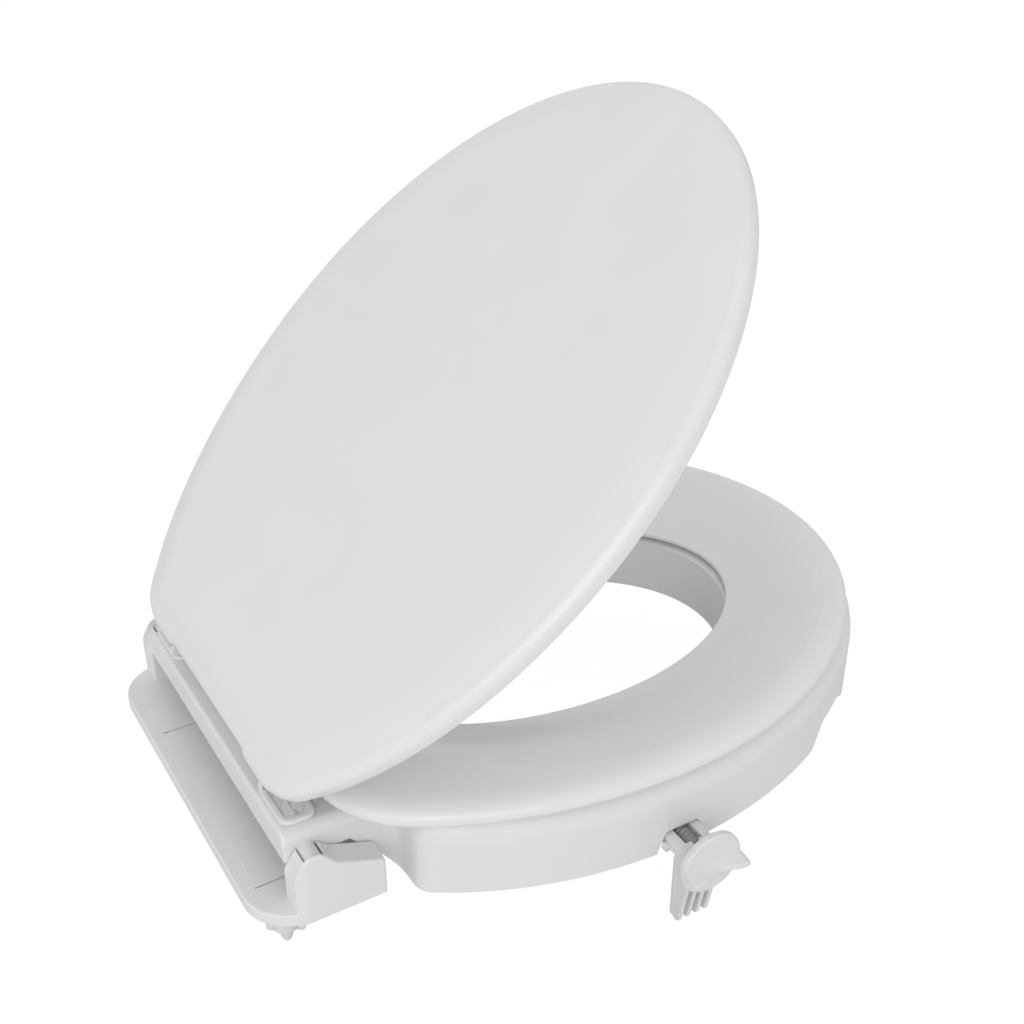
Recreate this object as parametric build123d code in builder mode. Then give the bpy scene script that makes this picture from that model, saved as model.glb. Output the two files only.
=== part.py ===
"""Raised toilet seat with lid: riser ring on a bolted rear plate, hinged seat and lid, two side clamps.

Millimetres, +Z up. The front of the seat points along -Y, the sitter's right hand is -X.
The origin lies midway between the two fixing bolts, on the top of the toilet bowl.
"""
import math
import os

from build123d import *

# General fits
running_clearance = 0.08
sliding_clearance = 0.25
seat_gap = 0.3
wall = 4.0
rim_facets = 3
dish_facets = 3

# Rear mounting plate and its two side blocks
plate_width = 252.0
plate_rear = 29.6
plate_front = -42.9
plate_thickness = 8.4
plate_corner = 20.0
plate_floor = 2.0
block_thickness = 17.0
block_rear = 9.1
block_rear_height = 28.0
block_shoulder_y = 2.1
block_shoulder_height = 39.0
block_ramp_y = -16.4
block_ramp_height = 34.5
block_front_height = 24.0
cap_wall = 7.0
cap_shoulder_height = 32.0
cap_height = 45.7
cap_top_rear = 3.2
cap_top_front = -6.5
cap_round = 7.5

# Fixing bolts, their insert plates, washers and wing nuts
bolt_spacing = 150.0
bolt_radius = 3.9
bolt_length = 59.5
bolt_head_width = 13.0
bolt_head_height = 2.8
insert_width = 38.6
insert_depth = 42.6
insert_thickness = 3.4
slot_travel = 14.0
washer_radius = 11.0
washer_thickness = 1.6
wing_nut_height = 10.0
wing_nut_radius = 7.5
wing_nut_drop = 40.0
wing_span = 24.0
wing_thickness = 3.0
wing_rise = 1.0
wing_turn = 70.0
bolt_tip = 0.8

# Trunnion axis on which the riser tilts up for cleaning
trunnion_y = -4.4
trunnion_z = 36.5
trunnion_radius = 5.0

# Riser ring: two outlines, each of two half ellipses, and the neck at its back
skirt_center_y = -211.4
skirt_tuck = 2.0
skirt_front = 213.0
skirt_rear = 237.0
skirt_upright = 7.0
band_center_y = -202.4
band_half_width = 179.0
band_front = 231.5
band_rear = 223.0
band_height = 14.0
riser_height = 50.0
riser_edge = 7.0
deck_flat = 20.0
deck_rear = 150.0
deck_inner_height = 40.0
hole_center_y = -212.5
riser_hole_half_width = 100.0
riser_hole_front = 135.5
riser_hole_rear = 142.0
ring_rear_y = -57.2
ring_corner = 6.5
neck_half_width = 108.5
neck_rear = 7.9
neck_bottom = 31.0
neck_top = 49.0
neck_slope_y = -30.0
neck_edge = 3.0
neck_rib_count = 3
rib_count = 10
rib_thickness = 3.0

# Seat ring
seat_center_y = -198.4
seat_half_width = 184.0
seat_front = 224.0
seat_rear = 242.0
seat_rear_y = -17.4
seat_rear_corner = 38.0
seat_bottom = 59.0
seat_crest = 69.5
seat_crest_inset = 16.0
seat_edge = 9.0
seat_wall = 5.0
seat_hole_half_width = 92.6
seat_hole_front = 138.4
seat_hole_rear = 144.0
seat_hole_height = 46.6
seat_lip = 3.0
seat_rim_flat = 24.0
seat_under_rear = 151.0
seat_crest_rear = 163.0
dish_bow = 0.25

# Hinge axis shared by seat and lid, and the hinge bases on the neck
hinge_y = -3.4
hinge_z = 71.0
hinge_pin_radius = 2.2
knuckle = 5.0
hinge_gap = 0.4
lid_lug_start = 59.0
lid_lug_width = 6.5
post_width = 6.2
ear_width = 9.0
ear_root = 8.0
pin_overhang = 0.8
tray_inner = 65.0
tray_outer = 106.0
tray_rear = 6.3
tray_front = -15.0
tray_floor = 1.2
tray_lip_height = 3.0
tray_lip = 2.0
tray_corner = 6.0
post_rear = -9.0
post_front = -15.0
post_arm = 4.4
boss_inner = 70.0
boss_outer = 76.0
boss_y = 3.4
boss_z = 53.8
boss_radius = 3.9
boss_hole_radius = 2.2
hinge_screw_x = 90.0
hinge_screw_y = -6.0
hinge_screw_radius = 3.0
hinge_screw_head_radius = 7.0
hinge_screw_head_height = 2.4
hinge_screw_slot = 1.6
hinge_nut_width = 10.0
hinge_nut_height = 5.0

# Lid, drawn on its own plane, which leans back at the angle of the photograph
lid_angle = 44.1
lid_reveal = 0.2
lid_setback = 2.3
lid_overhang = 4.0
lid_rear_growth = 5.5
lid_rear_y = 9.6
lid_rear_corner = 9.2
lid_rim_height = 11.5
lid_crown = 3.0
lid_crown_inset = 27.0
lid_edge = 7.0
lid_wall = 3.6
lid_housing = 1.3
lid_housing_height = 6.0
lid_lug_height = 5.5
lid_notch_height = 6.5
lid_boss_height = 3.0
lid_boss_radius = 4.5

# Rubber buffers
buffer_radius = 6.0
buffer_inset = 14.0
buffer_front_turn = -50.0
buffer_rear_turn = 30.0
lid_buffer_radius = 7.0
lid_buffer_inset = 20.0
lid_buffer_turns = (-50.0, 20.0)

# Side clamps
clamp_y = -202.0
clamp_z = 9.0
jaw_standoff = 7.0
jaw_width = 26.0
jaw_thickness = 4.0
jaw_corner = 3.0
jaw_bottom = -43.0
jaw_rib_reach = 8.0
jaw_rib_tip = 1.5
jaw_rib_thickness = 2.6
jaw_rib_count = 4
head_reach = 9.0
head_drop = 12.0
bar_offset = 8.4
bar_width = 5.4
bar_height = 8.0
bar_overrun = 6.0
stop_length = 4.0
stop_reach = 3.0
spindle_radius = 4.6
spindle_overrun = 4.0
knob_radius = 20.5
knob_thickness = 5.0
knob_edge = 1.6
grip_length = 39.6
grip_reach = 12.0
grip_thickness = 4.0
grip_scoop_depth = 3.6
grip_scoop_length = 34.0
guide_setback = 13.0
guide_thickness = 10.0
guide_width = 34.0
nut_block_gap = 18.0
nut_block_thickness = 12.0
clamp_nut_width = 16.0
clamp_nut_thickness = 6.0
arch_play = 3.0
arch_headroom = 2.4
arch_slope_height = 7.0
arch_slope_lean = 1.6

SIDES = {"right": -1, "left": 1}
lid_tilt = math.radians(lid_angle)
lid_plane = Plane(
    origin=(0, hinge_y, hinge_z),
    x_dir=(1, 0, 0),
    z_dir=(0, math.sin(lid_tilt), math.cos(lid_tilt)),
)
block_inner = plate_width / 2 - block_thickness
skirt_half_width = band_half_width - skirt_tuck

# The lid takes its outline from the seat that it closes
lid_half_width = seat_half_width - lid_reveal
lid_center = seat_center_y - hinge_y - lid_setback
lid_front = seat_front + lid_overhang
lid_rear = seat_rear + lid_rear_growth

# Distances of the clamp pieces from the middle, all set out from the side of the riser
jaw_x = band_half_width + jaw_standoff
jaw_face = jaw_x + jaw_thickness
head_end = jaw_face + head_reach
guide_outer_x = band_half_width - guide_setback
guide_inner_x = guide_outer_x - guide_thickness
nut_block_outer_x = guide_inner_x - nut_block_gap
nut_block_inner_x = nut_block_outer_x - nut_block_thickness
bar_end_x = guide_inner_x - bar_overrun
spindle_end_x = nut_block_inner_x - spindle_overrun
bar_reach = bar_offset + bar_width / 2
bar_bottom = clamp_z - bar_height / 2
bar_top = clamp_z + bar_height / 2
head_bottom = clamp_z - head_drop
scoop_radius = (grip_scoop_length**2 / 4 + grip_scoop_depth**2) / (2 * grip_scoop_depth)


def egg_sketch(plane, center_y, half_width, front, rear, inset=0.0):
    """Closed outline of a front and a rear half ellipse that share one width."""
    with BuildSketch(plane) as egg:
        with BuildLine():
            EllipticalCenterArc((0, center_y), half_width - inset, front - inset, 180, arc_size=180)
            EllipticalCenterArc((0, center_y), half_width - inset, rear - inset, 0, arc_size=180)
        make_face()
    return egg.sketch


def outline_sketch(plane, center_y, half_width, front, rear, rear_y, corner, inset=0.0):
    """Egg outline cut straight at the back, with blended rear corners, drawn in by an inset."""
    width = half_width - inset
    depth = rear - inset
    back = rear_y - inset
    turn = math.asin((back - corner - center_y) / depth)
    side_point = (width * math.cos(turn), back - corner)
    corner_x = width * (math.cos(turn) - math.tan(turn) * corner / depth)
    end_x = corner_x - math.hypot(side_point[0] - corner_x, corner)
    sweep = math.degrees(turn)
    with BuildSketch(plane) as shape:
        with BuildLine():
            EllipticalCenterArc((0, center_y), width, front - inset, 180, arc_size=180)
            EllipticalCenterArc((0, center_y), width, depth, 0, arc_size=sweep)
            Bezier(side_point, (corner_x, back), (end_x, back))
            Line((end_x, back), (-end_x, back))
            Bezier((-end_x, back), (-corner_x, back), (-side_point[0], side_point[1]))
            EllipticalCenterArc((0, center_y), width, depth, 180 - sweep, arc_size=sweep)
        make_face()
    return shape.sketch


def rim_steps(low, high, width, steps):
    """Heights and insets that step round a quarter ellipse from an upright wall to a top."""
    angles = [math.radians(90 * index / steps) for index in range(steps + 1)]
    return [(low + (high - low) * math.sin(a), width * (1 - math.cos(a))) for a in angles]


def side_plane(x, y, z):
    """Plane that faces +X, with +Y as its own x and +Z as its own y."""
    return Plane(origin=(x, y, z), x_dir=(0, 1, 0), z_dir=(1, 0, 0))


def span(inner, outer, side):
    """Lowest x and length of a stretch that lies between two distances from the middle."""
    return (inner if side > 0 else -outer), outer - inner


os.makedirs("parts", exist_ok=True)

# Rear mounting plate with the blocks that carry the trunnions, each closed by a humped outer cap
block_profile = [
    (block_rear, 0),
    (block_rear, block_rear_height),
    (block_shoulder_y, block_shoulder_height),
    (trunnion_y - trunnion_radius, block_shoulder_height),
    (block_ramp_y, block_ramp_height),
    (plate_front, block_front_height),
    (plate_front, 0),
]
cap_profile = [
    (block_rear, 0),
    (block_rear, cap_shoulder_height),
    (cap_top_rear, cap_height),
    (cap_top_front, cap_height),
    (block_ramp_y, block_ramp_height),
    (plate_front, block_front_height),
    (plate_front, 0),
]
with BuildPart() as mounting_plate:
    with BuildSketch():
        with Locations((0, (plate_rear + plate_front) / 2)):
            plate_outline = Rectangle(plate_width, plate_rear - plate_front)
        fillet(plate_outline.vertices().group_by(Axis.Y)[-1], plate_corner)
    extrude(amount=plate_thickness)
    for side in SIDES.values():
        block_start, block_length = span(block_inner, plate_width / 2, side)
        with BuildSketch(side_plane(block_start, 0, 0)):
            with BuildLine():
                Polyline(*block_profile, close=True)
            make_face()
        extrude(amount=block_length)
        cap_start, cap_length = span(plate_width / 2 - cap_wall, plate_width / 2, side)
        with BuildSketch(side_plane(cap_start, 0, 0)) as cap_face:
            with BuildLine():
                Polyline(*cap_profile, close=True)
            make_face()
            hump = cap_face.vertices().filter_by(lambda v: v.Y > block_front_height + cap_round / 2)
            fillet(hump, cap_round)
        extrude(amount=cap_length)
        notch_start, notch_length = span(block_inner, plate_width / 2 - cap_wall, side)
        with BuildSketch(side_plane(notch_start, trunnion_y, trunnion_z)):
            Circle(trunnion_radius + running_clearance)
            Rectangle(
                2 * (trunnion_radius + running_clearance),
                cap_height,
                align=(Align.CENTER, Align.MIN),
            )
        extrude(amount=notch_length, mode=Mode.SUBTRACT)
        with BuildSketch(Plane.XY.offset(plate_thickness - insert_thickness)):
            with Locations((side * bolt_spacing / 2, 0)):
                Rectangle(insert_width + 2 * sliding_clearance, insert_depth + 2 * sliding_clearance)
        extrude(amount=insert_thickness, mode=Mode.SUBTRACT)
        with BuildSketch(Plane.XY.offset(plate_floor)):
            with Locations((side * bolt_spacing / 2, 0)):
                Rectangle(bolt_head_width + slot_travel, bolt_head_width + 2 * sliding_clearance)
        extrude(amount=plate_thickness - insert_thickness - plate_floor, mode=Mode.SUBTRACT)
        with BuildSketch():
            with Locations((side * bolt_spacing / 2, 0)):
                SlotCenterToCenter(slot_travel, 2 * (bolt_radius + sliding_clearance))
        extrude(amount=plate_floor, mode=Mode.SUBTRACT)

# Covers that close the plate over the two bolt heads
for name, side in SIDES.items():
    with BuildPart() as bolt_cover:
        with BuildSketch(Plane.XY.offset(plate_thickness - insert_thickness)):
            with Locations((side * bolt_spacing / 2, 0)):
                Rectangle(insert_width, insert_depth)
        extrude(amount=insert_thickness)
    bolt_cover.part.label = f"bolt_cover_{name}"
    export_step(bolt_cover.part, f"parts/bolt_cover_{name}.step")

# Fixing bolts with square heads
bolt_points = [(side * bolt_spacing / 2, 0) for side in SIDES.values()]
with BuildPart() as fixing_bolts:
    with BuildSketch(Plane.XY.offset(plate_floor)):
        with Locations(*bolt_points):
            Rectangle(bolt_head_width, bolt_head_width)
    extrude(amount=bolt_head_height)
    with BuildSketch(Plane.XY.offset(plate_floor)):
        with Locations(*bolt_points):
            Circle(bolt_radius)
    extrude(amount=-(bolt_length + plate_floor))
    chamfer(fixing_bolts.edges().group_by(Axis.Z)[0], bolt_tip)

# Washers and wing nuts that draw the bolts down under the bowl
with BuildPart() as fixing_washers:
    with BuildSketch(Plane.XY.offset(-wing_nut_drop)):
        with Locations(*bolt_points):
            Circle(washer_radius)
            Circle(bolt_radius + sliding_clearance, mode=Mode.SUBTRACT)
    extrude(amount=washer_thickness)
with BuildPart() as wing_nuts:
    with BuildSketch(Plane.XY.offset(-wing_nut_drop)):
        with Locations(*bolt_points):
            Circle(wing_nut_radius)
    extrude(amount=-wing_nut_height)
    with BuildSketch(Plane.XY.offset(-wing_nut_drop - wing_rise)):
        with Locations(*bolt_points):
            SlotOverall(wing_span, wing_thickness, rotation=wing_turn)
    extrude(amount=-wing_nut_height)
    with BuildSketch(Plane.XY.offset(-wing_nut_drop)):
        with Locations(*bolt_points):
            Circle(bolt_radius + running_clearance)
    extrude(amount=-(wing_nut_height + wing_rise), mode=Mode.SUBTRACT)


def skirt_sketch(height, inset=0.0):
    """Outline of the riser where it stands on the bowl."""
    return outline_sketch(
        Plane.XY.offset(height),
        skirt_center_y,
        skirt_half_width,
        skirt_front,
        skirt_rear,
        ring_rear_y,
        ring_corner,
        inset,
    )


def band_sketch(height, inset=0.0):
    """Outline of the riser above its lip line."""
    return outline_sketch(
        Plane.XY.offset(height),
        band_center_y,
        band_half_width,
        band_front,
        band_rear,
        ring_rear_y,
        ring_corner,
        inset,
    )


def riser_hole_sketch(height, inset=0.0):
    """Outline of the opening through the riser."""
    return egg_sketch(
        Plane.XY.offset(height),
        hole_center_y,
        riser_hole_half_width,
        riser_hole_front,
        riser_hole_rear,
        inset,
    )


def deck_sketch(height):
    """Outline where the flat rim of the riser breaks into the slope towards the opening."""
    return egg_sketch(
        Plane.XY.offset(height),
        band_center_y,
        band_half_width - deck_flat,
        band_front - deck_flat,
        deck_rear,
    )


# Riser ring: skirt, band and rounded top edge
with BuildPart() as ring_body:
    ring_sections = [skirt_sketch(0), skirt_sketch(skirt_upright), band_sketch(band_height)]
    for height, inset in rim_steps(riser_height - riser_edge, riser_height, riser_edge, rim_facets):
        ring_sections.append(band_sketch(height, inset))
    loft(ring_sections, ruled=True)

# Hollow under the riser ring, divided by radial ribs and by the clamp guides
with BuildPart() as ring_hollow:
    loft(
        [
            skirt_sketch(0, wall),
            skirt_sketch(skirt_upright, wall),
            band_sketch(band_height, wall),
            band_sketch(riser_height - wall, wall),
        ],
        ruled=True,
    )
    loft(
        [deck_sketch(riser_height - wall), riser_hole_sketch(deck_inner_height - wall)],
        ruled=True,
        mode=Mode.SUBTRACT,
    )
    extrude(riser_hole_sketch(0, -wall), amount=riser_height, mode=Mode.SUBTRACT)
    with Locations((0, hole_center_y, 0)):
        with PolarLocations(0, rib_count, start_angle=180 / rib_count):
            Box(
                2 * band_front,
                rib_thickness,
                2 * riser_height,
                align=(Align.MIN, Align.CENTER, Align.CENTER),
                mode=Mode.SUBTRACT,
            )
    for side in SIDES.values():
        for inner, outer in ((guide_inner_x, guide_outer_x), (nut_block_inner_x, nut_block_outer_x)):
            with Locations((side * (inner + outer) / 2, clamp_y, 0)):
                Box(outer - inner, guide_width, 2 * riser_height, mode=Mode.SUBTRACT)

# Hollow under the neck, with upright ribs
with BuildPart() as neck_hollow:
    with Locations((0, neck_rear - wall, 0)):
        Box(
            2 * (neck_half_width - wall),
            neck_rear - wall - ring_rear_y,
            neck_top - wall,
            align=(Align.CENTER, Align.MAX, Align.MIN),
        )
    with GridLocations(neck_half_width / 2, 0, neck_rib_count, 1):
        Box(rib_thickness, -2 * ring_rear_y, 2 * neck_top, mode=Mode.SUBTRACT)

# Riser: neck, ring and trunnions in one moulding, with an arch at each side for the clamp
arch_height = bar_top + arch_headroom
arch_profile = [
    (jaw_width / 2 + arch_play, 0),
    (jaw_width / 2 + arch_play, arch_height - arch_slope_height),
    (bar_reach - arch_slope_lean, arch_height),
    (arch_slope_lean - bar_reach, arch_height),
    (-jaw_width / 2 - arch_play, arch_height - arch_slope_height),
    (-jaw_width / 2 - arch_play, 0),
]
neck_profile = [
    (neck_rear, neck_bottom),
    (neck_rear, neck_top),
    (ring_rear_y - wall, neck_top),
    (ring_rear_y - wall, 0),
    (ring_rear_y, 0),
    (neck_slope_y, neck_bottom),
]
with BuildPart() as riser:
    with BuildSketch(side_plane(-neck_half_width, 0, 0)):
        with BuildLine():
            Polyline(*neck_profile, close=True)
        make_face()
    extrude(amount=2 * neck_half_width)
    neck_rim = riser.faces().sort_by(Axis.Z)[-1].edges().filter_by(
        lambda e: e.center().Y > ring_rear_y
    )
    fillet(neck_rim, neck_edge)
    add(ring_body.part)
    loft(
        [deck_sketch(riser_height), riser_hole_sketch(deck_inner_height)],
        ruled=True,
        mode=Mode.SUBTRACT,
    )
    extrude(riser_hole_sketch(0), amount=riser_height, mode=Mode.SUBTRACT)
    add(ring_hollow.part, mode=Mode.SUBTRACT)
    add(neck_hollow.part, mode=Mode.SUBTRACT)
    for side in SIDES.values():
        pin_start, pin_length = span(
            neck_half_width, plate_width / 2 - cap_wall - sliding_clearance, side
        )
        with BuildSketch(side_plane(pin_start, trunnion_y, trunnion_z)):
            Circle(trunnion_radius)
        extrude(amount=pin_length)
        with BuildSketch(Plane.XY.offset(neck_top)):
            with Locations((side * hinge_screw_x, hinge_screw_y)):
                Circle(hinge_screw_radius + sliding_clearance)
        extrude(amount=-wall, mode=Mode.SUBTRACT)
        arch_start, arch_length = span(guide_outer_x, jaw_x, side)
        with BuildSketch(side_plane(arch_start, clamp_y, 0)):
            with BuildLine():
                Polyline(*arch_profile, close=True)
            make_face()
        extrude(amount=arch_length, mode=Mode.SUBTRACT)
        guide_start, guide_length = span(guide_inner_x, guide_outer_x, side)
        with BuildSketch(side_plane(guide_start, clamp_y, clamp_z)):
            Circle(spindle_radius + sliding_clearance)
            with GridLocations(2 * bar_offset, 0, 2, 1):
                Rectangle(bar_width + 2 * sliding_clearance, bar_height + 2 * sliding_clearance)
        extrude(amount=guide_length, mode=Mode.SUBTRACT)
        block_start, block_length = span(nut_block_inner_x, nut_block_outer_x, side)
        with BuildSketch(side_plane(block_start, clamp_y, clamp_z)):
            Circle(spindle_radius + sliding_clearance)
        extrude(amount=block_length, mode=Mode.SUBTRACT)
        with Locations((side * (nut_block_inner_x + nut_block_outer_x) / 2, clamp_y, 0)):
            Box(
                clamp_nut_thickness + 2 * sliding_clearance,
                clamp_nut_width + 2 * sliding_clearance,
                clamp_z + clamp_nut_width / 2 + sliding_clearance,
                align=(Align.CENTER, Align.CENTER, Align.MIN),
                mode=Mode.SUBTRACT,
            )

# Hinge bases: a lipped tray with a gooseneck post that carries the hinge pin
lug_outer = lid_lug_start + lid_lug_width
post_start = lug_outer + hinge_gap
post_end = post_start + post_width
second_lug_start = post_end + hinge_gap
second_lug_end = second_lug_start + lid_lug_width
ear_end = lid_lug_start - hinge_gap
ear_start = ear_end - ear_width
tray_width = tray_outer - tray_inner
tray_depth = tray_rear - tray_front
for name, side in SIDES.items():
    with BuildPart() as hinge_base:
        tray_center = (side * (tray_inner + tray_outer) / 2, (tray_rear + tray_front) / 2)
        with BuildSketch(Plane.XY.offset(neck_top)):
            with Locations(tray_center):
                RectangleRounded(tray_width, tray_depth, tray_corner)
        extrude(amount=tray_lip_height)
        with BuildSketch(Plane.XY.offset(neck_top + tray_floor)):
            with Locations(tray_center):
                RectangleRounded(
                    tray_width - 2 * tray_lip, tray_depth - 2 * tray_lip, tray_corner - tray_lip
                )
        extrude(amount=tray_lip_height, mode=Mode.SUBTRACT)
        start, length = span(post_start, post_end, side)
        with BuildSketch(side_plane(start, 0, 0)):
            with BuildLine():
                Polyline(
                    (post_front, neck_top),
                    (post_rear, neck_top),
                    (post_rear, hinge_z - post_arm),
                    (hinge_y, hinge_z - post_arm),
                    (hinge_y, hinge_z + post_arm),
                    (post_front, hinge_z + post_arm),
                    close=True,
                )
            make_face()
            with Locations((hinge_y, hinge_z)):
                Circle(knuckle)
        extrude(amount=length)
        with BuildSketch(side_plane(start, hinge_y, hinge_z)):
            Circle(hinge_pin_radius)
        extrude(amount=length, mode=Mode.SUBTRACT)
        start, length = span(boss_inner, boss_outer, side)
        with BuildSketch(side_plane(start, boss_y, boss_z)):
            Circle(boss_radius)
        extrude(amount=length)
        with BuildSketch(side_plane(start, boss_y, boss_z)):
            Circle(boss_hole_radius)
        extrude(amount=length, mode=Mode.SUBTRACT)
        with BuildSketch(Plane.XY.offset(neck_top)):
            with Locations((side * hinge_screw_x, hinge_screw_y)):
                Circle(hinge_screw_radius + sliding_clearance)
        extrude(amount=tray_floor, mode=Mode.SUBTRACT)
    hinge_base.part.label = f"hinge_base_{name}"
    export_step(hinge_base.part, f"parts/hinge_base_{name}.step")

# Hinge pins, slotted screws and the nuts below the neck
screw_points = [(side * hinge_screw_x, hinge_screw_y) for side in SIDES.values()]
with BuildPart() as hinge_pins:
    for side in SIDES.values():
        start, length = span(ear_start - pin_overhang, second_lug_end + pin_overhang, side)
        with BuildSketch(side_plane(start, hinge_y, hinge_z)):
            Circle(hinge_pin_radius)
        extrude(amount=length)
with BuildPart() as hinge_screws:
    with BuildSketch(Plane.XY.offset(neck_top + tray_floor)):
        with Locations(*screw_points):
            Circle(hinge_screw_head_radius)
    extrude(amount=hinge_screw_head_height)
    with BuildSketch(Plane.XY.offset(neck_top + tray_floor + hinge_screw_head_height / 2)):
        with Locations(*screw_points):
            Rectangle(2 * hinge_screw_head_radius, hinge_screw_slot)
    extrude(amount=hinge_screw_head_height / 2, mode=Mode.SUBTRACT)
    with BuildSketch(Plane.XY.offset(neck_top + tray_floor)):
        with Locations(*screw_points):
            Circle(hinge_screw_radius)
    extrude(amount=-(tray_floor + wall + 2 * hinge_nut_height))
with BuildPart() as hinge_nuts:
    with BuildSketch(Plane.XY.offset(neck_top - wall)):
        with Locations(*screw_points):
            RegularPolygon(hinge_nut_width / 2, 6, major_radius=False)
            Circle(hinge_screw_radius + running_clearance, mode=Mode.SUBTRACT)
    extrude(amount=-hinge_nut_height)


def seat_hole_sketch(height, inset=0.0):
    """Outline of the opening through the seat."""
    return egg_sketch(
        Plane.XY.offset(height),
        hole_center_y,
        seat_hole_half_width,
        seat_hole_front,
        seat_hole_rear,
        inset,
    )


# Seat ring: rounded outer flank, a crest and a dish that falls to a thin lip at the opening
def seat_dish_sketch(share):
    """Outline of the dish at a share of the way from the crest to the opening."""
    rest = 1 - share
    rise = rest + dish_bow * share * rest
    return egg_sketch(
        Plane.XY.offset(seat_hole_height + (seat_crest - seat_hole_height) * rise),
        seat_center_y * rest + hole_center_y * share,
        (seat_half_width - seat_crest_inset) * rest + seat_hole_half_width * share,
        (seat_front - seat_crest_inset) * rest + seat_hole_front * share,
        seat_crest_rear * rest + seat_hole_rear * share,
    )


seat_under_sketch = egg_sketch(
    Plane.XY.offset(seat_bottom),
    seat_center_y,
    seat_half_width - seat_rim_flat,
    seat_front - seat_rim_flat,
    seat_under_rear,
)
with BuildPart() as seat:
    seat_sections = []
    seat_steps = rim_steps(seat_bottom + seat_wall, seat_crest, seat_edge, rim_facets)
    for height, inset in [(seat_bottom, 0)] + seat_steps:
        seat_sections.append(
            outline_sketch(
                Plane.XY.offset(height),
                seat_center_y,
                seat_half_width,
                seat_front,
                seat_rear,
                seat_rear_y,
                seat_rear_corner,
                inset,
            )
        )
    loft(seat_sections, ruled=True)
    loft([seat_under_sketch, seat_hole_sketch(seat_hole_height - seat_lip, -seat_lip)], ruled=True)
    loft(
        [seat_dish_sketch(index / dish_facets) for index in range(dish_facets + 1)],
        ruled=True,
        mode=Mode.SUBTRACT,
    )
    extrude(seat_hole_sketch(0), amount=2 * seat_crest, mode=Mode.SUBTRACT)
    for side in SIDES.values():
        start, length = span(ear_start, ear_end, side)
        with BuildSketch(side_plane(start, 0, 0)):
            with BuildLine():
                Polyline(
                    (hinge_y - knuckle, hinge_z),
                    (hinge_y, hinge_z - knuckle),
                    (seat_rear_y, seat_bottom),
                    (seat_rear_y - ear_root, seat_bottom),
                    (seat_rear_y - ear_root, seat_crest - ear_root / 2),
                    (hinge_y, hinge_z + knuckle),
                    close=True,
                )
            make_face()
            with Locations((hinge_y, hinge_z)):
                Circle(knuckle)
        extrude(amount=length)
        with BuildSketch(side_plane(start, hinge_y, hinge_z)):
            Circle(hinge_pin_radius + running_clearance)
        extrude(amount=length, mode=Mode.SUBTRACT)

# Buffers under the seat, clear of the riser deck by a small gap
buffer_points = []
for side in SIDES.values():
    for angle, rear_or_front in ((buffer_front_turn, band_front), (buffer_rear_turn, band_rear)):
        turn = math.radians(angle)
        buffer_points.append(
            (
                side * (band_half_width - buffer_inset) * math.cos(turn),
                band_center_y + (rear_or_front - buffer_inset) * math.sin(turn),
            )
        )
with BuildPart() as seat_buffers:
    with BuildSketch(Plane.XY.offset(riser_height + seat_gap)):
        with Locations(*buffer_points):
            Circle(buffer_radius)
    extrude(amount=seat_bottom - riser_height - seat_gap)


def lid_shell(inset, rim_top, edge, facets):
    """Crowned solid inside the lid outline, with a rounded rim of a given top height."""
    sections = [(0, 0)] + rim_steps(rim_top - edge, rim_top, edge, facets)
    sections.append((rim_top + lid_crown, lid_crown_inset))
    with BuildPart() as shell:
        loft(
            [
                outline_sketch(
                    lid_plane.offset(height),
                    lid_center,
                    lid_half_width,
                    lid_front,
                    lid_rear,
                    lid_rear_y,
                    lid_rear_corner,
                    inset + step,
                )
                for height, step in sections
            ],
            ruled=True,
        )
    return shell.part


# Lid: a crowned shell, open below, with two pairs of hinge lugs at its rear edge
lid_side = Plane(origin=lid_plane.origin, x_dir=lid_plane.y_dir, z_dir=(1, 0, 0))
lid_buffer_points = [
    (
        side * (lid_half_width - lid_buffer_inset) * math.cos(math.radians(angle)),
        lid_center + (lid_front - lid_buffer_inset) * math.sin(math.radians(angle)),
    )
    for side in SIDES.values()
    for angle in lid_buffer_turns
]
with BuildPart() as lid:
    add(lid_shell(0, lid_rim_height, lid_edge, rim_facets))
    add(lid_shell(lid_wall, lid_rim_height - lid_wall, lid_edge - lid_wall, 1), mode=Mode.SUBTRACT)
    with BuildSketch(lid_plane.offset(lid_boss_height)):
        with Locations(*lid_buffer_points):
            Circle(lid_boss_radius)
    extrude(until=Until.NEXT)
    for side in SIDES.values():
        start, length = span(lid_lug_start, second_lug_end, side)
        with BuildSketch(lid_side.offset(start)):
            with Locations((lid_rear_y + lid_housing, 0)):
                Rectangle(2 * lid_housing, lid_housing_height, align=(Align.MAX, Align.MIN))
        extrude(amount=length)
        start, length = span(lug_outer, second_lug_start, side)
        with BuildSketch(lid_side.offset(start)):
            with Locations((knuckle, 0)):
                Rectangle(lid_rear_y, lid_notch_height, align=(Align.MIN, Align.MIN))
        extrude(amount=length, mode=Mode.SUBTRACT)
        for inner, outer in ((lid_lug_start, lug_outer), (second_lug_start, second_lug_end)):
            start, length = span(inner, outer, side)
            with BuildSketch(lid_side.offset(start)):
                Circle(knuckle)
                with Locations((-knuckle, 0)):
                    Rectangle(
                        knuckle + lid_rear_y - lid_wall / 2,
                        lid_lug_height,
                        align=(Align.MIN, Align.MIN),
                    )
            extrude(amount=length)
            with BuildSketch(lid_side.offset(start)):
                Circle(hinge_pin_radius + running_clearance)
            extrude(amount=length, mode=Mode.SUBTRACT)

# Buffers on the lid bosses, clear of the closed seat by a small gap
with BuildPart() as lid_buffers:
    with BuildSketch(lid_plane.offset(seat_crest + seat_gap - hinge_z)):
        with Locations(*lid_buffer_points):
            Circle(lid_buffer_radius)
    extrude(amount=lid_boss_height - (seat_crest + seat_gap - hinge_z))

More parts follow.
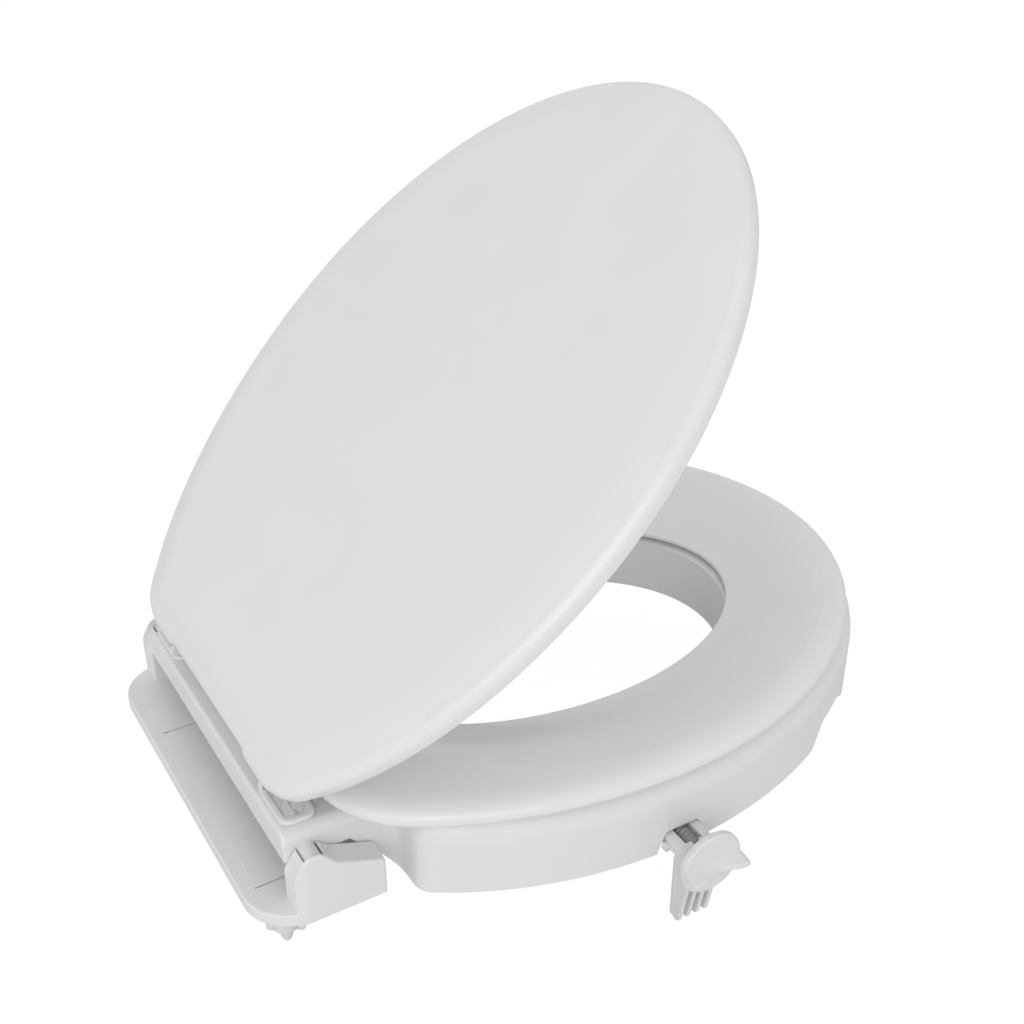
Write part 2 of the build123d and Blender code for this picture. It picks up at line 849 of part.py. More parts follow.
# Side clamps: jaw with ribs and guide bars, screwed spindle, knob and captive nut
for name, side in SIDES.items():
    with BuildPart() as clamp_jaw:
        start, length = span(jaw_x, jaw_face, side)
        with BuildSketch(side_plane(start, clamp_y, (bar_bottom + jaw_bottom) / 2)):
            RectangleRounded(jaw_width, bar_bottom - jaw_bottom, jaw_corner)
        extrude(amount=length)
        start, length = span(jaw_face, head_end, side)
        with BuildSketch(side_plane(start, clamp_y, (bar_top + head_bottom) / 2)):
            Rectangle(2 * bar_reach, bar_top - head_bottom)
        extrude(amount=length)
        rib_pitch = (jaw_width - jaw_rib_thickness) / (jaw_rib_count - 1)
        for index in range(jaw_rib_count):
            rib_y = clamp_y - jaw_width / 2 + jaw_rib_thickness + index * rib_pitch
            with BuildSketch(Plane(origin=(0, rib_y, 0), x_dir=(1, 0, 0), z_dir=(0, -1, 0))):
                with BuildLine():
                    Polyline(
                        (side * jaw_x, jaw_bottom),
                        (side * (jaw_face + jaw_rib_tip), jaw_bottom),
                        (side * (jaw_face + jaw_rib_reach), head_bottom),
                        (side * jaw_x, head_bottom),
                        close=True,
                    )
                make_face()
            extrude(amount=jaw_rib_thickness)
        start, length = span(bar_end_x, head_end, side)
        with BuildSketch(side_plane(start, clamp_y, clamp_z)):
            with GridLocations(2 * bar_offset, 0, 2, 1):
                Rectangle(bar_width, bar_height)
        extrude(amount=length)
        start, length = span(guide_inner_x - seat_gap - stop_length, guide_inner_x - seat_gap, side)
        with BuildSketch(side_plane(start, clamp_y, clamp_z)):
            with GridLocations(2 * (bar_offset + stop_reach / 2), 0, 2, 1):
                Rectangle(bar_width + stop_reach, bar_height)
        extrude(amount=length)
        start, length = span(jaw_x, head_end, side)
        with BuildSketch(side_plane(start, clamp_y, clamp_z)):
            Circle(spindle_radius + running_clearance)
        extrude(amount=length, mode=Mode.SUBTRACT)
    clamp_jaw.part.label = f"clamp_jaw_{name}"
    export_step(clamp_jaw.part, f"parts/clamp_jaw_{name}.step")

    knob_x = head_end + seat_gap
    with BuildPart() as clamp_spindle:
        start, length = span(spindle_end_x, knob_x + knob_thickness / 2, side)
        with BuildSketch(side_plane(start, clamp_y, clamp_z)):
            Circle(spindle_radius)
        extrude(amount=length)
    clamp_spindle.part.label = f"clamp_spindle_{name}"
    export_step(clamp_spindle.part, f"parts/clamp_spindle_{name}.step")

    with BuildPart() as clamp_knob:
        start, length = span(knob_x, knob_x + knob_thickness, side)
        with BuildSketch(side_plane(start, clamp_y, clamp_z)):
            Circle(knob_radius)
        extrude(amount=length)
        rim = clamp_knob.edges().filter_by(GeomType.CIRCLE).sort_by(Axis.X, reverse=side < 0)[-1]
        chamfer(rim, knob_edge)
        start, length = span(knob_x + knob_thickness / 2, knob_x + knob_thickness + grip_reach, side)
        with BuildSketch(side_plane(start, clamp_y, clamp_z)):
            SlotOverall(grip_length, grip_thickness)
        extrude(amount=length)
        scoop_x = knob_x + knob_thickness + grip_reach + scoop_radius - grip_scoop_depth
        with BuildSketch(Plane.XY.offset(clamp_z)):
            with Locations((side * scoop_x, clamp_y)):
                Circle(scoop_radius)
        extrude(amount=grip_thickness, both=True, mode=Mode.SUBTRACT)
        start, length = span(knob_x, knob_x + knob_thickness / 2, side)
        with BuildSketch(side_plane(start, clamp_y, clamp_z)):
            Circle(spindle_radius)
        extrude(amount=length, mode=Mode.SUBTRACT)
    clamp_knob.part.label = f"clamp_knob_{name}"
    export_step(clamp_knob.part, f"parts/clamp_knob_{name}.step")

    nut_center = (nut_block_inner_x + nut_block_outer_x) / 2
    with BuildPart() as clamp_nut:
        start, length = span(
            nut_center - clamp_nut_thickness / 2, nut_center + clamp_nut_thickness / 2, side
        )
        with BuildSketch(side_plane(start, clamp_y, clamp_z)):
            Rectangle(clamp_nut_width, clamp_nut_width)
            Circle(spindle_radius + running_clearance, mode=Mode.SUBTRACT)
        extrude(amount=length)
    clamp_nut.part.label = f"clamp_nut_{name}"
    export_step(clamp_nut.part, f"parts/clamp_nut_{name}.step")

mounting_plate.part.label = "mounting_plate"
export_step(mounting_plate.part, "parts/mounting_plate.step")
fixing_bolts.part.label = "fixing_bolts"
export_step(fixing_bolts.part, "parts/fixing_bolts.step")
fixing_washers.part.label = "fixing_washers"
export_step(fixing_washers.part, "parts/fixing_washers.step")
wing_nuts.part.label = "wing_nuts"
export_step(wing_nuts.part, "parts/wing_nuts.step")
riser.part.label = "riser"
export_step(riser.part, "parts/riser.step")
hinge_pins.part.label = "hinge_pins"
export_step(hinge_pins.part, "parts/hinge_pins.step")
hinge_screws.part.label = "hinge_screws"
export_step(hinge_screws.part, "parts/hinge_screws.step")
hinge_nuts.part.label = "hinge_nuts"
export_step(hinge_nuts.part, "parts/hinge_nuts.step")
seat.part.label = "seat"
export_step(seat.part, "parts/seat.step")
seat_buffers.part.label = "seat_buffers"
export_step(seat_buffers.part, "parts/seat_buffers.step")
lid.part.label = "lid"
export_step(lid.part, "parts/lid.step")
lid_buffers.part.label = "lid_buffers"
export_step(lid_buffers.part, "parts/lid_buffers.step")
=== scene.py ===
"""Raised toilet seat with lid, dressed for a plain studio picture.

Sizes are millimetres in the frame of the part: +Z up, the front of the seat along -Y, the sitter's
right hand along -X. Meshes are written in metres.
"""
import logging
import math
from bisect import bisect_left
from dataclasses import dataclass
from enum import Enum

import bmesh
import bpy
from mathutils import Matrix, Vector


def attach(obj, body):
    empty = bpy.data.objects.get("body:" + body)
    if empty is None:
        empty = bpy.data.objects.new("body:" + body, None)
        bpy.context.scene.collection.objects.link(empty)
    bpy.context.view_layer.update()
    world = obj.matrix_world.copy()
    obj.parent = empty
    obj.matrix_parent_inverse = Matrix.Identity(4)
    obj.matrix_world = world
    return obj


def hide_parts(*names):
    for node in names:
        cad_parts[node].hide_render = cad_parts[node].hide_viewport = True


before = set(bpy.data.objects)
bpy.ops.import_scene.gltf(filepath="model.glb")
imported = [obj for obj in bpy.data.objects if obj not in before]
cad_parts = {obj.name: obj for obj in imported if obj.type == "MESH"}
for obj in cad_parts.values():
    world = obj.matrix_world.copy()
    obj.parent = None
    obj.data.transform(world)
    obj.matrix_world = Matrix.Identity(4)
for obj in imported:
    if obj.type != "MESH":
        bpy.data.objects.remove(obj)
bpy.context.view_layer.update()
LOG = logging.getLogger("raised_seat")

MILLIMETRE = 0.001
DIRECTIONS = 720
SMOOTH_ANGLE = math.radians(38.0)

Pair = tuple[float, float]
Ring = list[Vector]
Colour = tuple[float, float, float]


class Side(Enum):
    """The two sides of the seat, as the sign of x."""

    RIGHT = -1
    LEFT = 1

    @property
    def word(self) -> str:
        """Name of the side in the names of the nodes."""
        return self.name.lower()

    def stretch(self, inner: float, outer: float) -> Pair:
        """Lowest x and length of a stretch between two distances from the middle."""
        return (inner if self is Side.LEFT else -outer), outer - inner


class Facing(Enum):
    """Directions in which an outline can be pushed out into a solid."""

    UP = Matrix(((1, 0, 0), (0, 1, 0), (0, 0, 1)))
    LEFTWARD = Matrix(((0, 0, 1), (1, 0, 0), (0, 1, 0)))
    REARWARD = Matrix(((1, 0, 0), (0, 0, 1), (0, 1, 0)))


class Grain(Enum):
    """Kinds of surface that a finish can show."""

    MOULDED = "moulded"
    SPARKED = "sparked"
    BRUSHED = "brushed"


@dataclass(frozen=True)
class Finish:
    """Procedural surface of one kind of material.

    Args:
        name: Name of the material.
        slot: Material slot of the record; not used.
        colour: Linear base colour.
        drift: Share by which the colour wanders.
        roughness: Lowest and highest roughness.
        grain: Kind of surface relief.
        relief: Depth of the relief in millimetres.
        pitch: Size of the relief in millimetres.
        metallic: One for bare metal.
        coat: Weight of the gloss skin.
    """

    name: str
    slot: str
    colour: Colour
    drift: float
    roughness: Pair
    grain: Grain
    relief: float
    pitch: float
    metallic: float = 0.0
    coat: float = 0.0

    def material(self) -> bpy.types.Material:
        """Node material of this finish, made once.

        Returns:
            The material.
        """
        known = bpy.data.materials.get(self.name)
        if known:
            return known
        made = bpy.data.materials.new(self.name)
        made.use_nodes = True
        nodes = made.node_tree.nodes
        links = made.node_tree.links
        shader = nodes["Principled BSDF"]
        shader.inputs["Metallic"].default_value = self.metallic
        shader.inputs["Coat Weight"].default_value = self.coat
        shader.inputs["Coat Roughness"].default_value = 0.06
        place = nodes.new("ShaderNodeTexCoord").outputs["Object"]
        if self.grain is Grain.BRUSHED:
            stretch = nodes.new("ShaderNodeMapping")
            stretch.inputs["Scale"].default_value = (0.08, 1.0, 1.0)
            links.new(place, stretch.inputs["Vector"])
            place = stretch.outputs["Vector"]
        cloud = self._noise(nodes, links, place, 22.0, 3.0)
        tint = nodes.new("ShaderNodeValToRGB")
        low = [max(0.0, c * (1.0 - self.drift)) for c in self.colour]
        high = [min(1.0, c * (1.0 + self.drift)) for c in self.colour]
        tint.color_ramp.elements[0].position = 0.3
        tint.color_ramp.elements[0].color = (*low, 1.0)
        tint.color_ramp.elements[1].position = 0.7
        tint.color_ramp.elements[1].color = (*high, 1.0)
        links.new(cloud, tint.inputs["Fac"])
        links.new(tint.outputs["Color"], shader.inputs["Base Color"])
        haze = self._noise(nodes, links, place, 60.0, 4.0)
        rough = nodes.new("ShaderNodeMapRange")
        rough.inputs["From Min"].default_value = 0.3
        rough.inputs["From Max"].default_value = 0.7
        rough.inputs["To Min"].default_value = self.roughness[0]
        rough.inputs["To Max"].default_value = self.roughness[1]
        links.new(haze, rough.inputs["Value"])
        links.new(rough.outputs["Result"], shader.inputs["Roughness"])
        fine = self._noise(nodes, links, place, 1000.0 / self.pitch, 2.0)
        bump = nodes.new("ShaderNodeBump")
        bump.inputs["Strength"].default_value = 0.5 if self.grain is Grain.SPARKED else 0.25
        bump.inputs["Distance"].default_value = self.relief * MILLIMETRE
        links.new(fine, bump.inputs["Height"])
        links.new(bump.outputs["Normal"], shader.inputs["Normal"])
        return made

    @staticmethod
    def _noise(
        nodes: "bpy.types.Nodes", links: "bpy.types.NodeLinks", place: "bpy.types.NodeSocket",
        scale: float, detail: float,
    ) -> "bpy.types.NodeSocket":
        """Noise texture output at a given scale.

        Args:
            nodes: Nodes of the material.
            links: Links of the material.
            place: Socket with the coordinates.
            scale: Scale of the noise.
            detail: Octaves of the noise.

        Returns:
            The factor socket.
        """
        noise = nodes.new("ShaderNodeTexNoise")
        noise.inputs["Scale"].default_value = scale
        noise.inputs["Detail"].default_value = detail
        links.new(place, noise.inputs["Vector"])
        return noise.outputs["Fac"]


class Finishes(Enum):
    """Finishes of this seat."""

    SHELL = Finish("gloss_shell", "white_plastic", (0.80, 0.80, 0.80), 0.012, (0.28, 0.36),
                   Grain.MOULDED, 0.01, 1.2, coat=0.15)
    SEAT = Finish("polished_seat", "seat_plastic", (0.81, 0.81, 0.81), 0.010, (0.16, 0.22),
                  Grain.MOULDED, 0.006, 1.6, coat=0.3)
    FIXING = Finish("satin_fixing", "fixing_plastic", (0.78, 0.78, 0.77), 0.02, (0.38, 0.5),
                    Grain.SPARKED, 0.02, 0.6)
    SPINDLE = Finish("grey_spindle", "spindle_plastic", (0.28, 0.28, 0.285), 0.06, (0.4, 0.52),
                     Grain.SPARKED, 0.02, 0.5)
    RUBBER = Finish("pale_rubber", "rubber", (0.70, 0.70, 0.69), 0.03, (0.6, 0.75),
                    Grain.SPARKED, 0.03, 0.4)
    STEEL = Finish("bright_steel", "steel", (0.62, 0.62, 0.63), 0.05, (0.22, 0.34),
                   Grain.BRUSHED, 0.01, 0.5, metallic=1.0)


class Bulk:
    """One closed solid while it is put together, in millimetres."""

    def __init__(self, mesh: bmesh.types.BMesh) -> None:
        """Takes over a mesh and turns its faces outward."""
        self.mesh = mesh
        bmesh.ops.recalc_face_normals(mesh, faces=mesh.faces)

    @classmethod
    def skin(cls, rings: list[Ring], loop: bool = False) -> "Bulk":
        """Solid stretched over rings of equal count.

        Args:
            rings: Rings in order.
            loop: True to join the last ring to the first, otherwise both ends are closed.

        Returns:
            The solid.
        """
        mesh = bmesh.new()
        rows = [[mesh.verts.new(point) for point in ring] for ring in rings]
        pairs = list(zip(rows, rows[1:]))
        if loop:
            pairs.append((rows[-1], rows[0]))
        for below, above in pairs:
            for index in range(len(below)):
                after = (index + 1) % len(below)
                mesh.faces.new((below[index], below[after], above[after], above[index]))
        if not loop:
            mesh.faces.new(rows[0])
            mesh.faces.new(rows[-1])
        return cls(mesh)

    @classmethod
    def prism(cls, outline: list[Pair], facing: Facing, start: float, length: float,
              edge: float = 0.0, steps: int = 3) -> "Bulk":
        """Outline pushed out along an axis, with rounded edges.

        Args:
            outline: Corners of the outline in its own plane.
            facing: Direction in which it is pushed out.
            start: Place of the first end on that axis.
            length: Length along that axis.
            edge: Radius of the edges.
            steps: Steps of each rounding.

        Returns:
            The solid.
        """
        mesh = bmesh.new()
        low = [mesh.verts.new(facing.value @ Vector((u, v, start))) for u, v in outline]
        high = [mesh.verts.new(facing.value @ Vector((u, v, start + length))) for u, v in outline]
        mesh.faces.new(low)
        mesh.faces.new(high)
        for index in range(len(outline)):
            after = (index + 1) % len(outline)
            mesh.faces.new((low[index], low[after], high[after], high[index]))
        bulk = cls(mesh)
        if edge:
            bulk.round_edges(edge, steps)
        return bulk

    @classmethod
    def block(cls, low: tuple[float, float, float], high: tuple[float, float, float],
              edge: float = 0.0) -> "Bulk":
        """Upright block between two corners, with rounded edges."""
        outline = [(low[0], low[1]), (high[0], low[1]), (high[0], high[1]), (low[0], high[1])]
        return cls.prism(outline, Facing.UP, low[2], high[2] - low[2], edge)

    @classmethod
    def turned(cls, profile: list[Pair], centre: Vector, facing: Facing, count: int = 48) -> "Bulk":
        """Profile of radius and height turned round an axis.

        Args:
            profile: Radius and height of each ring.
            centre: Foot of the axis.
            facing: Direction of the axis.
            count: Corners of each ring.

        Returns:
            The solid.
        """
        turns = [math.tau * index / count for index in range(count)]
        return cls.skin([
            [centre + facing.value @ Vector((r * math.cos(t), r * math.sin(t), h)) for t in turns]
            for r, h in profile
        ])

    @classmethod
    def threaded(cls, radius: float, depth: float, pitch: float, length: float, centre: Vector,
                 facing: Facing, count: int = 24) -> "Bulk":
        """Rod with a helical thread and pointed ends.

        Args:
            radius: Radius over the crests.
            depth: Depth of the thread.
            pitch: Rise of one turn.
            length: Length of the rod.
            centre: Foot of the axis.
            facing: Direction of the axis.
            count: Corners of each ring.

        Returns:
            The solid.
        """
        rows = int(length / pitch * 8)
        rings = []
        for row in range(rows + 1):
            height = length * row / rows
            fade = min(1.0, height / pitch, (length - height) / pitch)
            ring = []
            for index in range(count):
                turn = math.tau * index / count
                phase = (height / pitch - index / count) % 1.0
                wave = abs(2.0 * phase - 1.0)
                reach = radius - depth * (1.0 - wave * fade)
                ring.append(centre + facing.value @ Vector(
                    (reach * math.cos(turn), reach * math.sin(turn), height)))
            rings.append(ring)
        return cls.skin(rings)

    def round_edges(self, radius: float, steps: int = 3, bend: float = 25.0) -> "Bulk":
        """Rounds every edge that bends more than a given angle.

        Args:
            radius: Radius of the rounding.
            steps: Steps of the rounding.
            bend: Least bend in degrees.

        Returns:
            This solid.
        """
        least = math.radians(bend)
        edges = [e for e in self.mesh.edges if len(e.link_faces) == 2 and e.calc_face_angle() > least]
        bmesh.ops.bevel(self.mesh, geom=edges, offset=radius, segments=steps, profile=0.5,
                        affect="EDGES", clamp_overlap=True)
        return self

    def moved(self, matrix: Matrix) -> "Bulk":
        """Moves the solid by a matrix and returns it."""
        self.mesh.transform(matrix)
        return self

    def carved(self, cutters: list["Bulk"]) -> "Bulk":
        """Takes other solids out of this one.

        Args:
            cutters: The solids to take out, which are used up.

        Returns:
            The carved solid.
        """
        target = self.as_object("target")
        tools = []
        for cutter in cutters:
            tool = cutter.as_object("tool")
            tools.append(tool)
            step = target.modifiers.new("cut", "BOOLEAN")
            step.operation = "DIFFERENCE"
            step.solver = "EXACT"
            step.object = tool
        bpy.context.view_layer.update()
        whole = target.evaluated_get(bpy.context.evaluated_depsgraph_get())
        mesh = bmesh.new()
        mesh.from_mesh(whole.to_mesh())
        whole.to_mesh_clear()
        for extra in [target, *tools]:
            data = extra.data
            bpy.data.objects.remove(extra)
            bpy.data.meshes.remove(data)
        return Bulk(mesh)

    def as_object(self, name: str) -> bpy.types.Object:
        """Turns this solid into an object of the scene, in millimetres."""
        data = bpy.data.meshes.new(name)
        self.mesh.to_mesh(data)
        self.mesh.free()
        made = bpy.data.objects.new(name, data)
        bpy.context.scene.collection.objects.link(made)
        return made


def arc(centre: Pair, radius: float, start: float, end: float, steps: int) -> list[Pair]:
    """Points along an arc.

    Args:
        centre: Centre of the arc.
        radius: Radius of the arc.
        start: First angle in degrees.
        end: Last angle in degrees.
        steps: Steps between them.

    Returns:
        The points, both ends included.
    """
    turns = [math.radians(start + (end - start) * index / steps) for index in range(steps + 1)]
    return [(centre[0] + radius * math.cos(t), centre[1] + radius * math.sin(t)) for t in turns]


def softened(corners: list[tuple[float, float, float]], steps: int = 8) -> list[Pair]:
    """Outline with rounded corners.

    Args:
        corners: Place and radius of each corner.
        steps: Steps of each rounding.

    Returns:
        The outline.
    """
    points = []
    for index, (x, y, radius) in enumerate(corners):
        here = Vector((x, y))
        if radius <= 0.0:
            points.append((x, y))
            continue
        back = (Vector(corners[index - 1][:2]) - here).normalized()
        ahead = (Vector(corners[(index + 1) % len(corners)][:2]) - here).normalized()
        opening = back.angle(ahead)
        centre = here + (back + ahead).normalized() * radius / math.sin(opening / 2)
        first = here + back * radius / math.tan(opening / 2) - centre
        last = here + ahead * radius / math.tan(opening / 2) - centre
        turn = math.copysign(math.pi - opening, first.cross(last))
        for step in range(steps + 1):
            spoke = centre + Matrix.Rotation(turn * step / steps, 2) @ first
            points.append((spoke.x, spoke.y))
    return points


def rounded_box(low: Pair, high: Pair, radius: float) -> list[Pair]:
    """Outline of a rectangle with round corners."""
    corners = [(high[0], low[1]), (high[0], high[1]), (low[0], high[1]), (low[0], low[1])]
    return softened([(*corner, radius) for corner in corners], 6)


def quarter(low: Pair, high: Pair, steps: int) -> list[Pair]:
    """Inset and height along a quarter ellipse from an upright wall to a flat top.

    Args:
        low: Inset and height where the wall ends.
        high: Inset and height where the top begins.
        steps: Steps between them.

    Returns:
        The points, both ends included.
    """
    turns = [math.pi / 2 * index / steps for index in range(steps + 1)]
    return [
        (low[0] + (high[0] - low[0]) * (1 - math.cos(t)), low[1] + (high[1] - low[1]) * math.sin(t))
        for t in turns
    ]


def pose_piece(
    name: str, bulks: list[Bulk], finish: Finishes, body: str, nodes: list[str]
) -> bpy.types.Object:
    """Joins solids into one piece, dresses it and hangs it on its body.

    Args:
        name: Name of the piece.
        bulks: Solids of the piece, which are used up.
        finish: Its finish.
        body: Body it rides on.
        nodes: Nodes it stands for.

    Returns:
        The piece.
    """
    whole = bmesh.new()
    for bulk in bulks:
        part = bpy.data.meshes.new(name)
        bulk.mesh.to_mesh(part)
        bulk.mesh.free()
        whole.from_mesh(part)
        bpy.data.meshes.remove(part)
    whole.transform(Matrix.Scale(MILLIMETRE, 4))
    data = bpy.data.meshes.new(name)
    whole.to_mesh(data)
    whole.free()
    data.polygons.foreach_set("use_smooth", [True] * len(data.polygons))
    data.set_sharp_from_angle(angle=SMOOTH_ANGLE)
    data.materials.append(finish.value.material())
    piece = bpy.data.objects.new(name, data)
    bpy.context.scene.collection.objects.link(piece)
    even = piece.modifiers.new("even_shading", "WEIGHTED_NORMAL")
    even.keep_sharp = True
    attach(piece, body)
    if nodes:
        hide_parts(*nodes)
    LOG.info("%s: %d faces on %s", name, len(data.polygons), body)
    return piece


def dress_node(node: str, finish: Finishes) -> None:
    """Gives a carried-over node its finish."""
    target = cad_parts[node]
    material = finish.value.material()
    for holder in target.material_slots:
        holder.material = material
    if not target.material_slots:
        target.data.materials.append(material)
    LOG.info("%s: carried over", node)


@dataclass(frozen=True)
class Outline:
    """Outline of two half ellipses, cut straight at the back with blended corners.

    Args:
        centre: Place of the widest line on y.
        half_width: Half of the width.
        front: Reach of the front half.
        rear: Reach of the rear half.
        rear_y: Place of the straight back, or none for a whole egg.
        corner: Reach of the blended corners.
    """

    centre: float
    half_width: float
    front: float
    rear: float
    rear_y: float | None = None
    corner: float = 0.0

    def border(self, inset: float = 0.0, steps: int = 360) -> list[Pair]:
        """Dense border, from the left side round the back and the front.

        Args:
            inset: Distance by which the outline is drawn in.
            steps: Points along each half.

        Returns:
            The points.
        """
        width = self.half_width - inset
        depth = self.rear - inset
        front = [
            (width * math.cos(t), self.centre + (self.front - inset) * math.sin(t))
            for t in (math.pi + math.pi * index / steps for index in range(steps))
        ]
        if self.rear_y is None:
            return front + [
                (width * math.cos(t), self.centre + depth * math.sin(t))
                for t in (math.pi * index / steps for index in range(steps))
            ]
        back = self.rear_y - inset
        turn = math.asin((back - self.corner - self.centre) / depth)
        side = Vector((width * math.cos(turn), back - self.corner))
        tip = Vector((width * (math.cos(turn) - math.tan(turn) * self.corner / depth), back))
        end = Vector((tip.x - (side - tip).length, back))
        half = [
            Vector((
                width * math.cos(turn * index / steps),
                self.centre + depth * math.sin(turn * index / steps)))
            for index in range(steps)
        ]
        for index in range(41):
            share = index / 40
            half.append(side * (1 - share) ** 2 + tip * 2 * share * (1 - share) + end * share**2)
        half += [Vector((end.x * (1 - index / 40), back)) for index in range(1, 40)]
        rear = [(p.x, p.y) for p in half] + [(0.0, back)] + [(-p.x, p.y) for p in reversed(half)]
        return front + rear

    def ring(self, hub: float, height: float, inset: float = 0.0) -> Ring:
        """Ring of points in even directions round a hub.

        Args:
            hub: Place of the hub on y.
            height: Height of the ring.
            inset: Distance by which the outline is drawn in.

        Returns:
            The ring.
        """
        polar = sorted(
            (math.atan2(y - hub, x) % math.tau, math.hypot(x, y - hub)) for x, y in self.border(inset)
        )
        angles = [polar[-1][0] - math.tau] + [a for a, _ in polar] + [polar[0][0] + math.tau]
        reaches = [polar[-1][1]] + [r for _, r in polar] + [polar[0][1]]
        ring = []
        for index in range(DIRECTIONS):
            angle = math.tau * index / DIRECTIONS
            after = max(1, bisect_left(angles, angle))
            gap = angles[after] - angles[after - 1]
            share = (angle - angles[after - 1]) / gap if gap > 1e-9 else 0.0
            reach = reaches[after - 1] + (reaches[after] - reaches[after - 1]) * share
            ring.append(Vector((reach * math.cos(angle), hub + reach * math.sin(angle), height)))
        return ring


def between(first: Ring, second: Ring, share: float, height: float) -> Ring:
    """Ring part of the way from one ring to another, at a given height."""
    return [Vector((*a.lerp(b, share).xy, height)) for a, b in zip(first, second)]


@dataclass
class HingeLine:
    """Places along the hinge axis that seat, lid and hinge bases share."""

    y: float = -3.4
    z: float = 71.0
    knuckle: float = 5.0
    ear: Pair = (49.6, 58.6)
    inner_lug: Pair = (59.0, 65.5)
    post: Pair = (65.9, 72.1)
    outer_lug: Pair = (72.5, 79.0)


@dataclass
class Lid:
    """Crowned lid with its hinge lugs and buffers."""

    hinge: HingeLine
    outline: Outline = Outline(-197.3, 183.8, 228.0, 247.5, 8.0, 9.2)
    angle: float = 44.1
    hub: float = -190.0
    rim_height: float = 11.5
    edge: float = 7.0
    shoulder: float = 3.0
    shoulder_inset: float = 27.0
    crown: float = 1.5
    wall: float = 3.6
    lug_height: float = 5.5
    housing: float = 2.0
    housing_stretch: tuple[float, float, float, float] = (54.0, 62.0, 84.0, 99.0)
    notch_height: float = 6.5
    buffer_radius: float = 7.0
    buffer_inset: float = 20.0
    buffer_turns: Pair = (-50.0, 20.0)
    buffer_low: float = -1.2
    boss_height: float = 3.0

    def lean(self) -> Matrix:
        """Matrix from the plane of the lid to the part."""
        return (
            Matrix.Translation((0, self.hinge.y, self.hinge.z))
            @ Matrix.Rotation(-math.radians(self.angle), 4, "X")
        )

    def face(self, inset: float, rim: float, edge: float) -> list[Ring]:
        """Rings of one face of the shell from its foot to its middle.

        Args:
            inset: Distance inside the outline.
            rim: Height of the rim.
            edge: Radius of the rim.

        Returns:
            The rings.
        """
        lip = 0.9
        steps = [(inset + lip, 0.0), (inset + 0.26, 0.26), (inset, lip)] if not inset else [(inset, 0.0)]
        steps += quarter((inset, rim - edge), (inset + edge, rim), 9)
        bank = self.shoulder_inset - edge
        for index in range(1, 9):
            share = index / 8
            steps.append((inset + edge + bank * share, rim + self.shoulder * math.sin(share * math.pi / 2)))
        rings = [
            self.swollen(self.outline.ring(self.hub, height, step), step - inset) for step, height in steps]
        rim_ring = rings[-1]
        centre = [Vector((0, self.hub, 0))] * DIRECTIONS
        for share in (0.015, 0.05, 0.12, 0.22, 0.34, 0.47, 0.6, 0.72, 0.83, 0.92, 0.985):
            lift = self.crown * (1 - (1 - share) ** 2)
            rings.append(between(rim_ring, centre, share, rim + self.shoulder + lift))
        return rings

    def swollen(self, ring: Ring, depth: float) -> Ring:
        """Pushes the rear edge of a ring out round the two hinges, less with its depth inside the edge."""
        first, full, last, end = self.housing_stretch
        for point in ring:
            along = min((abs(point.x) - first) / (full - first), (end - abs(point.x)) / (end - last))
            near = min((point.y - self.outline.rear_y) / 14.0 + 1.0, 1.0 - depth / self.shoulder_inset)
            share = min(1.0, max(0.0, along)) * min(1.0, max(0.0, near))
            point.y += self.housing * share**2 * (3 - 2 * share)
        return ring

    def lugs(self, side: Side) -> list[Bulk]:
        """Hinge lugs of one side, on the plane of the lid."""
        made = []
        rear = self.outline.rear_y
        knuckle = self.hinge.knuckle
        for span in (self.hinge.inner_lug, self.hinge.outer_lug):
            start, length = side.stretch(*span)
            outline = arc((0, 0), knuckle, -180, 0, 14)
            inner = rear - self.wall / 2
            outline += [(inner, 0.6), (inner, self.lug_height), (-knuckle, self.lug_height)]
            made.append(Bulk.prism(outline, Facing.LEFTWARD, start, length, 0.5, 2))
        return made

    def build(self) -> None:
        """Makes the lid and its buffers."""
        outer = self.face(0.0, self.rim_height, self.edge)
        inner = self.face(self.wall, self.rim_height - self.wall, self.edge - self.wall)
        shell = Bulk.skin(list(reversed(inner)) + outer)
        bulks = [shell]
        rear = self.outline.rear_y
        notches = []
        for side in Side:
            start, length = side.stretch(self.hinge.inner_lug[1], self.hinge.outer_lug[0])
            notches.append(Bulk.block(
                (start, self.hinge.knuckle, -1.0),
                (start + length, rear + 4.0, self.notch_height)))
        bulks = [shell.carved(notches)]
        for side in Side:
            bulks += self.lugs(side)
        for x, y in self.buffer_points():
            bulks.append(Bulk.turned(
                [(4.5, self.boss_height), (4.5, 6.0), (6.0, 11.6)], Vector((x, y, 0)), Facing.UP))
        lean = self.lean()
        pose_piece("lid_shell", [b.moved(lean) for b in bulks], Finishes.SEAT, "lid", ["lid"])
        low, high = self.buffer_low, self.boss_height
        radius = self.buffer_radius
        pads = [
            Bulk.turned(
                [(radius - 2.2, low), (radius - 1.0, low + 0.3), (radius - 0.3, low + 1.0),
                 (radius, low + 2.0), (radius, high - 0.5), (radius - 0.5, high)],
                Vector((x, y, 0)), Facing.UP).moved(lean)
            for x, y in self.buffer_points()
        ]
        pose_piece("lid_pads", pads, Finishes.RUBBER, "lid", ["lid_buffers"])

    def buffer_points(self) -> list[Pair]:
        """Places of the buffers on the plane of the lid."""
        width = self.outline.half_width - self.buffer_inset
        depth = self.outline.front - self.buffer_inset
        return [
            (side.value * width * math.cos(math.radians(turn)),
             self.outline.centre + depth * math.sin(math.radians(turn)))
            for side in Side
            for turn in self.buffer_turns
        ]


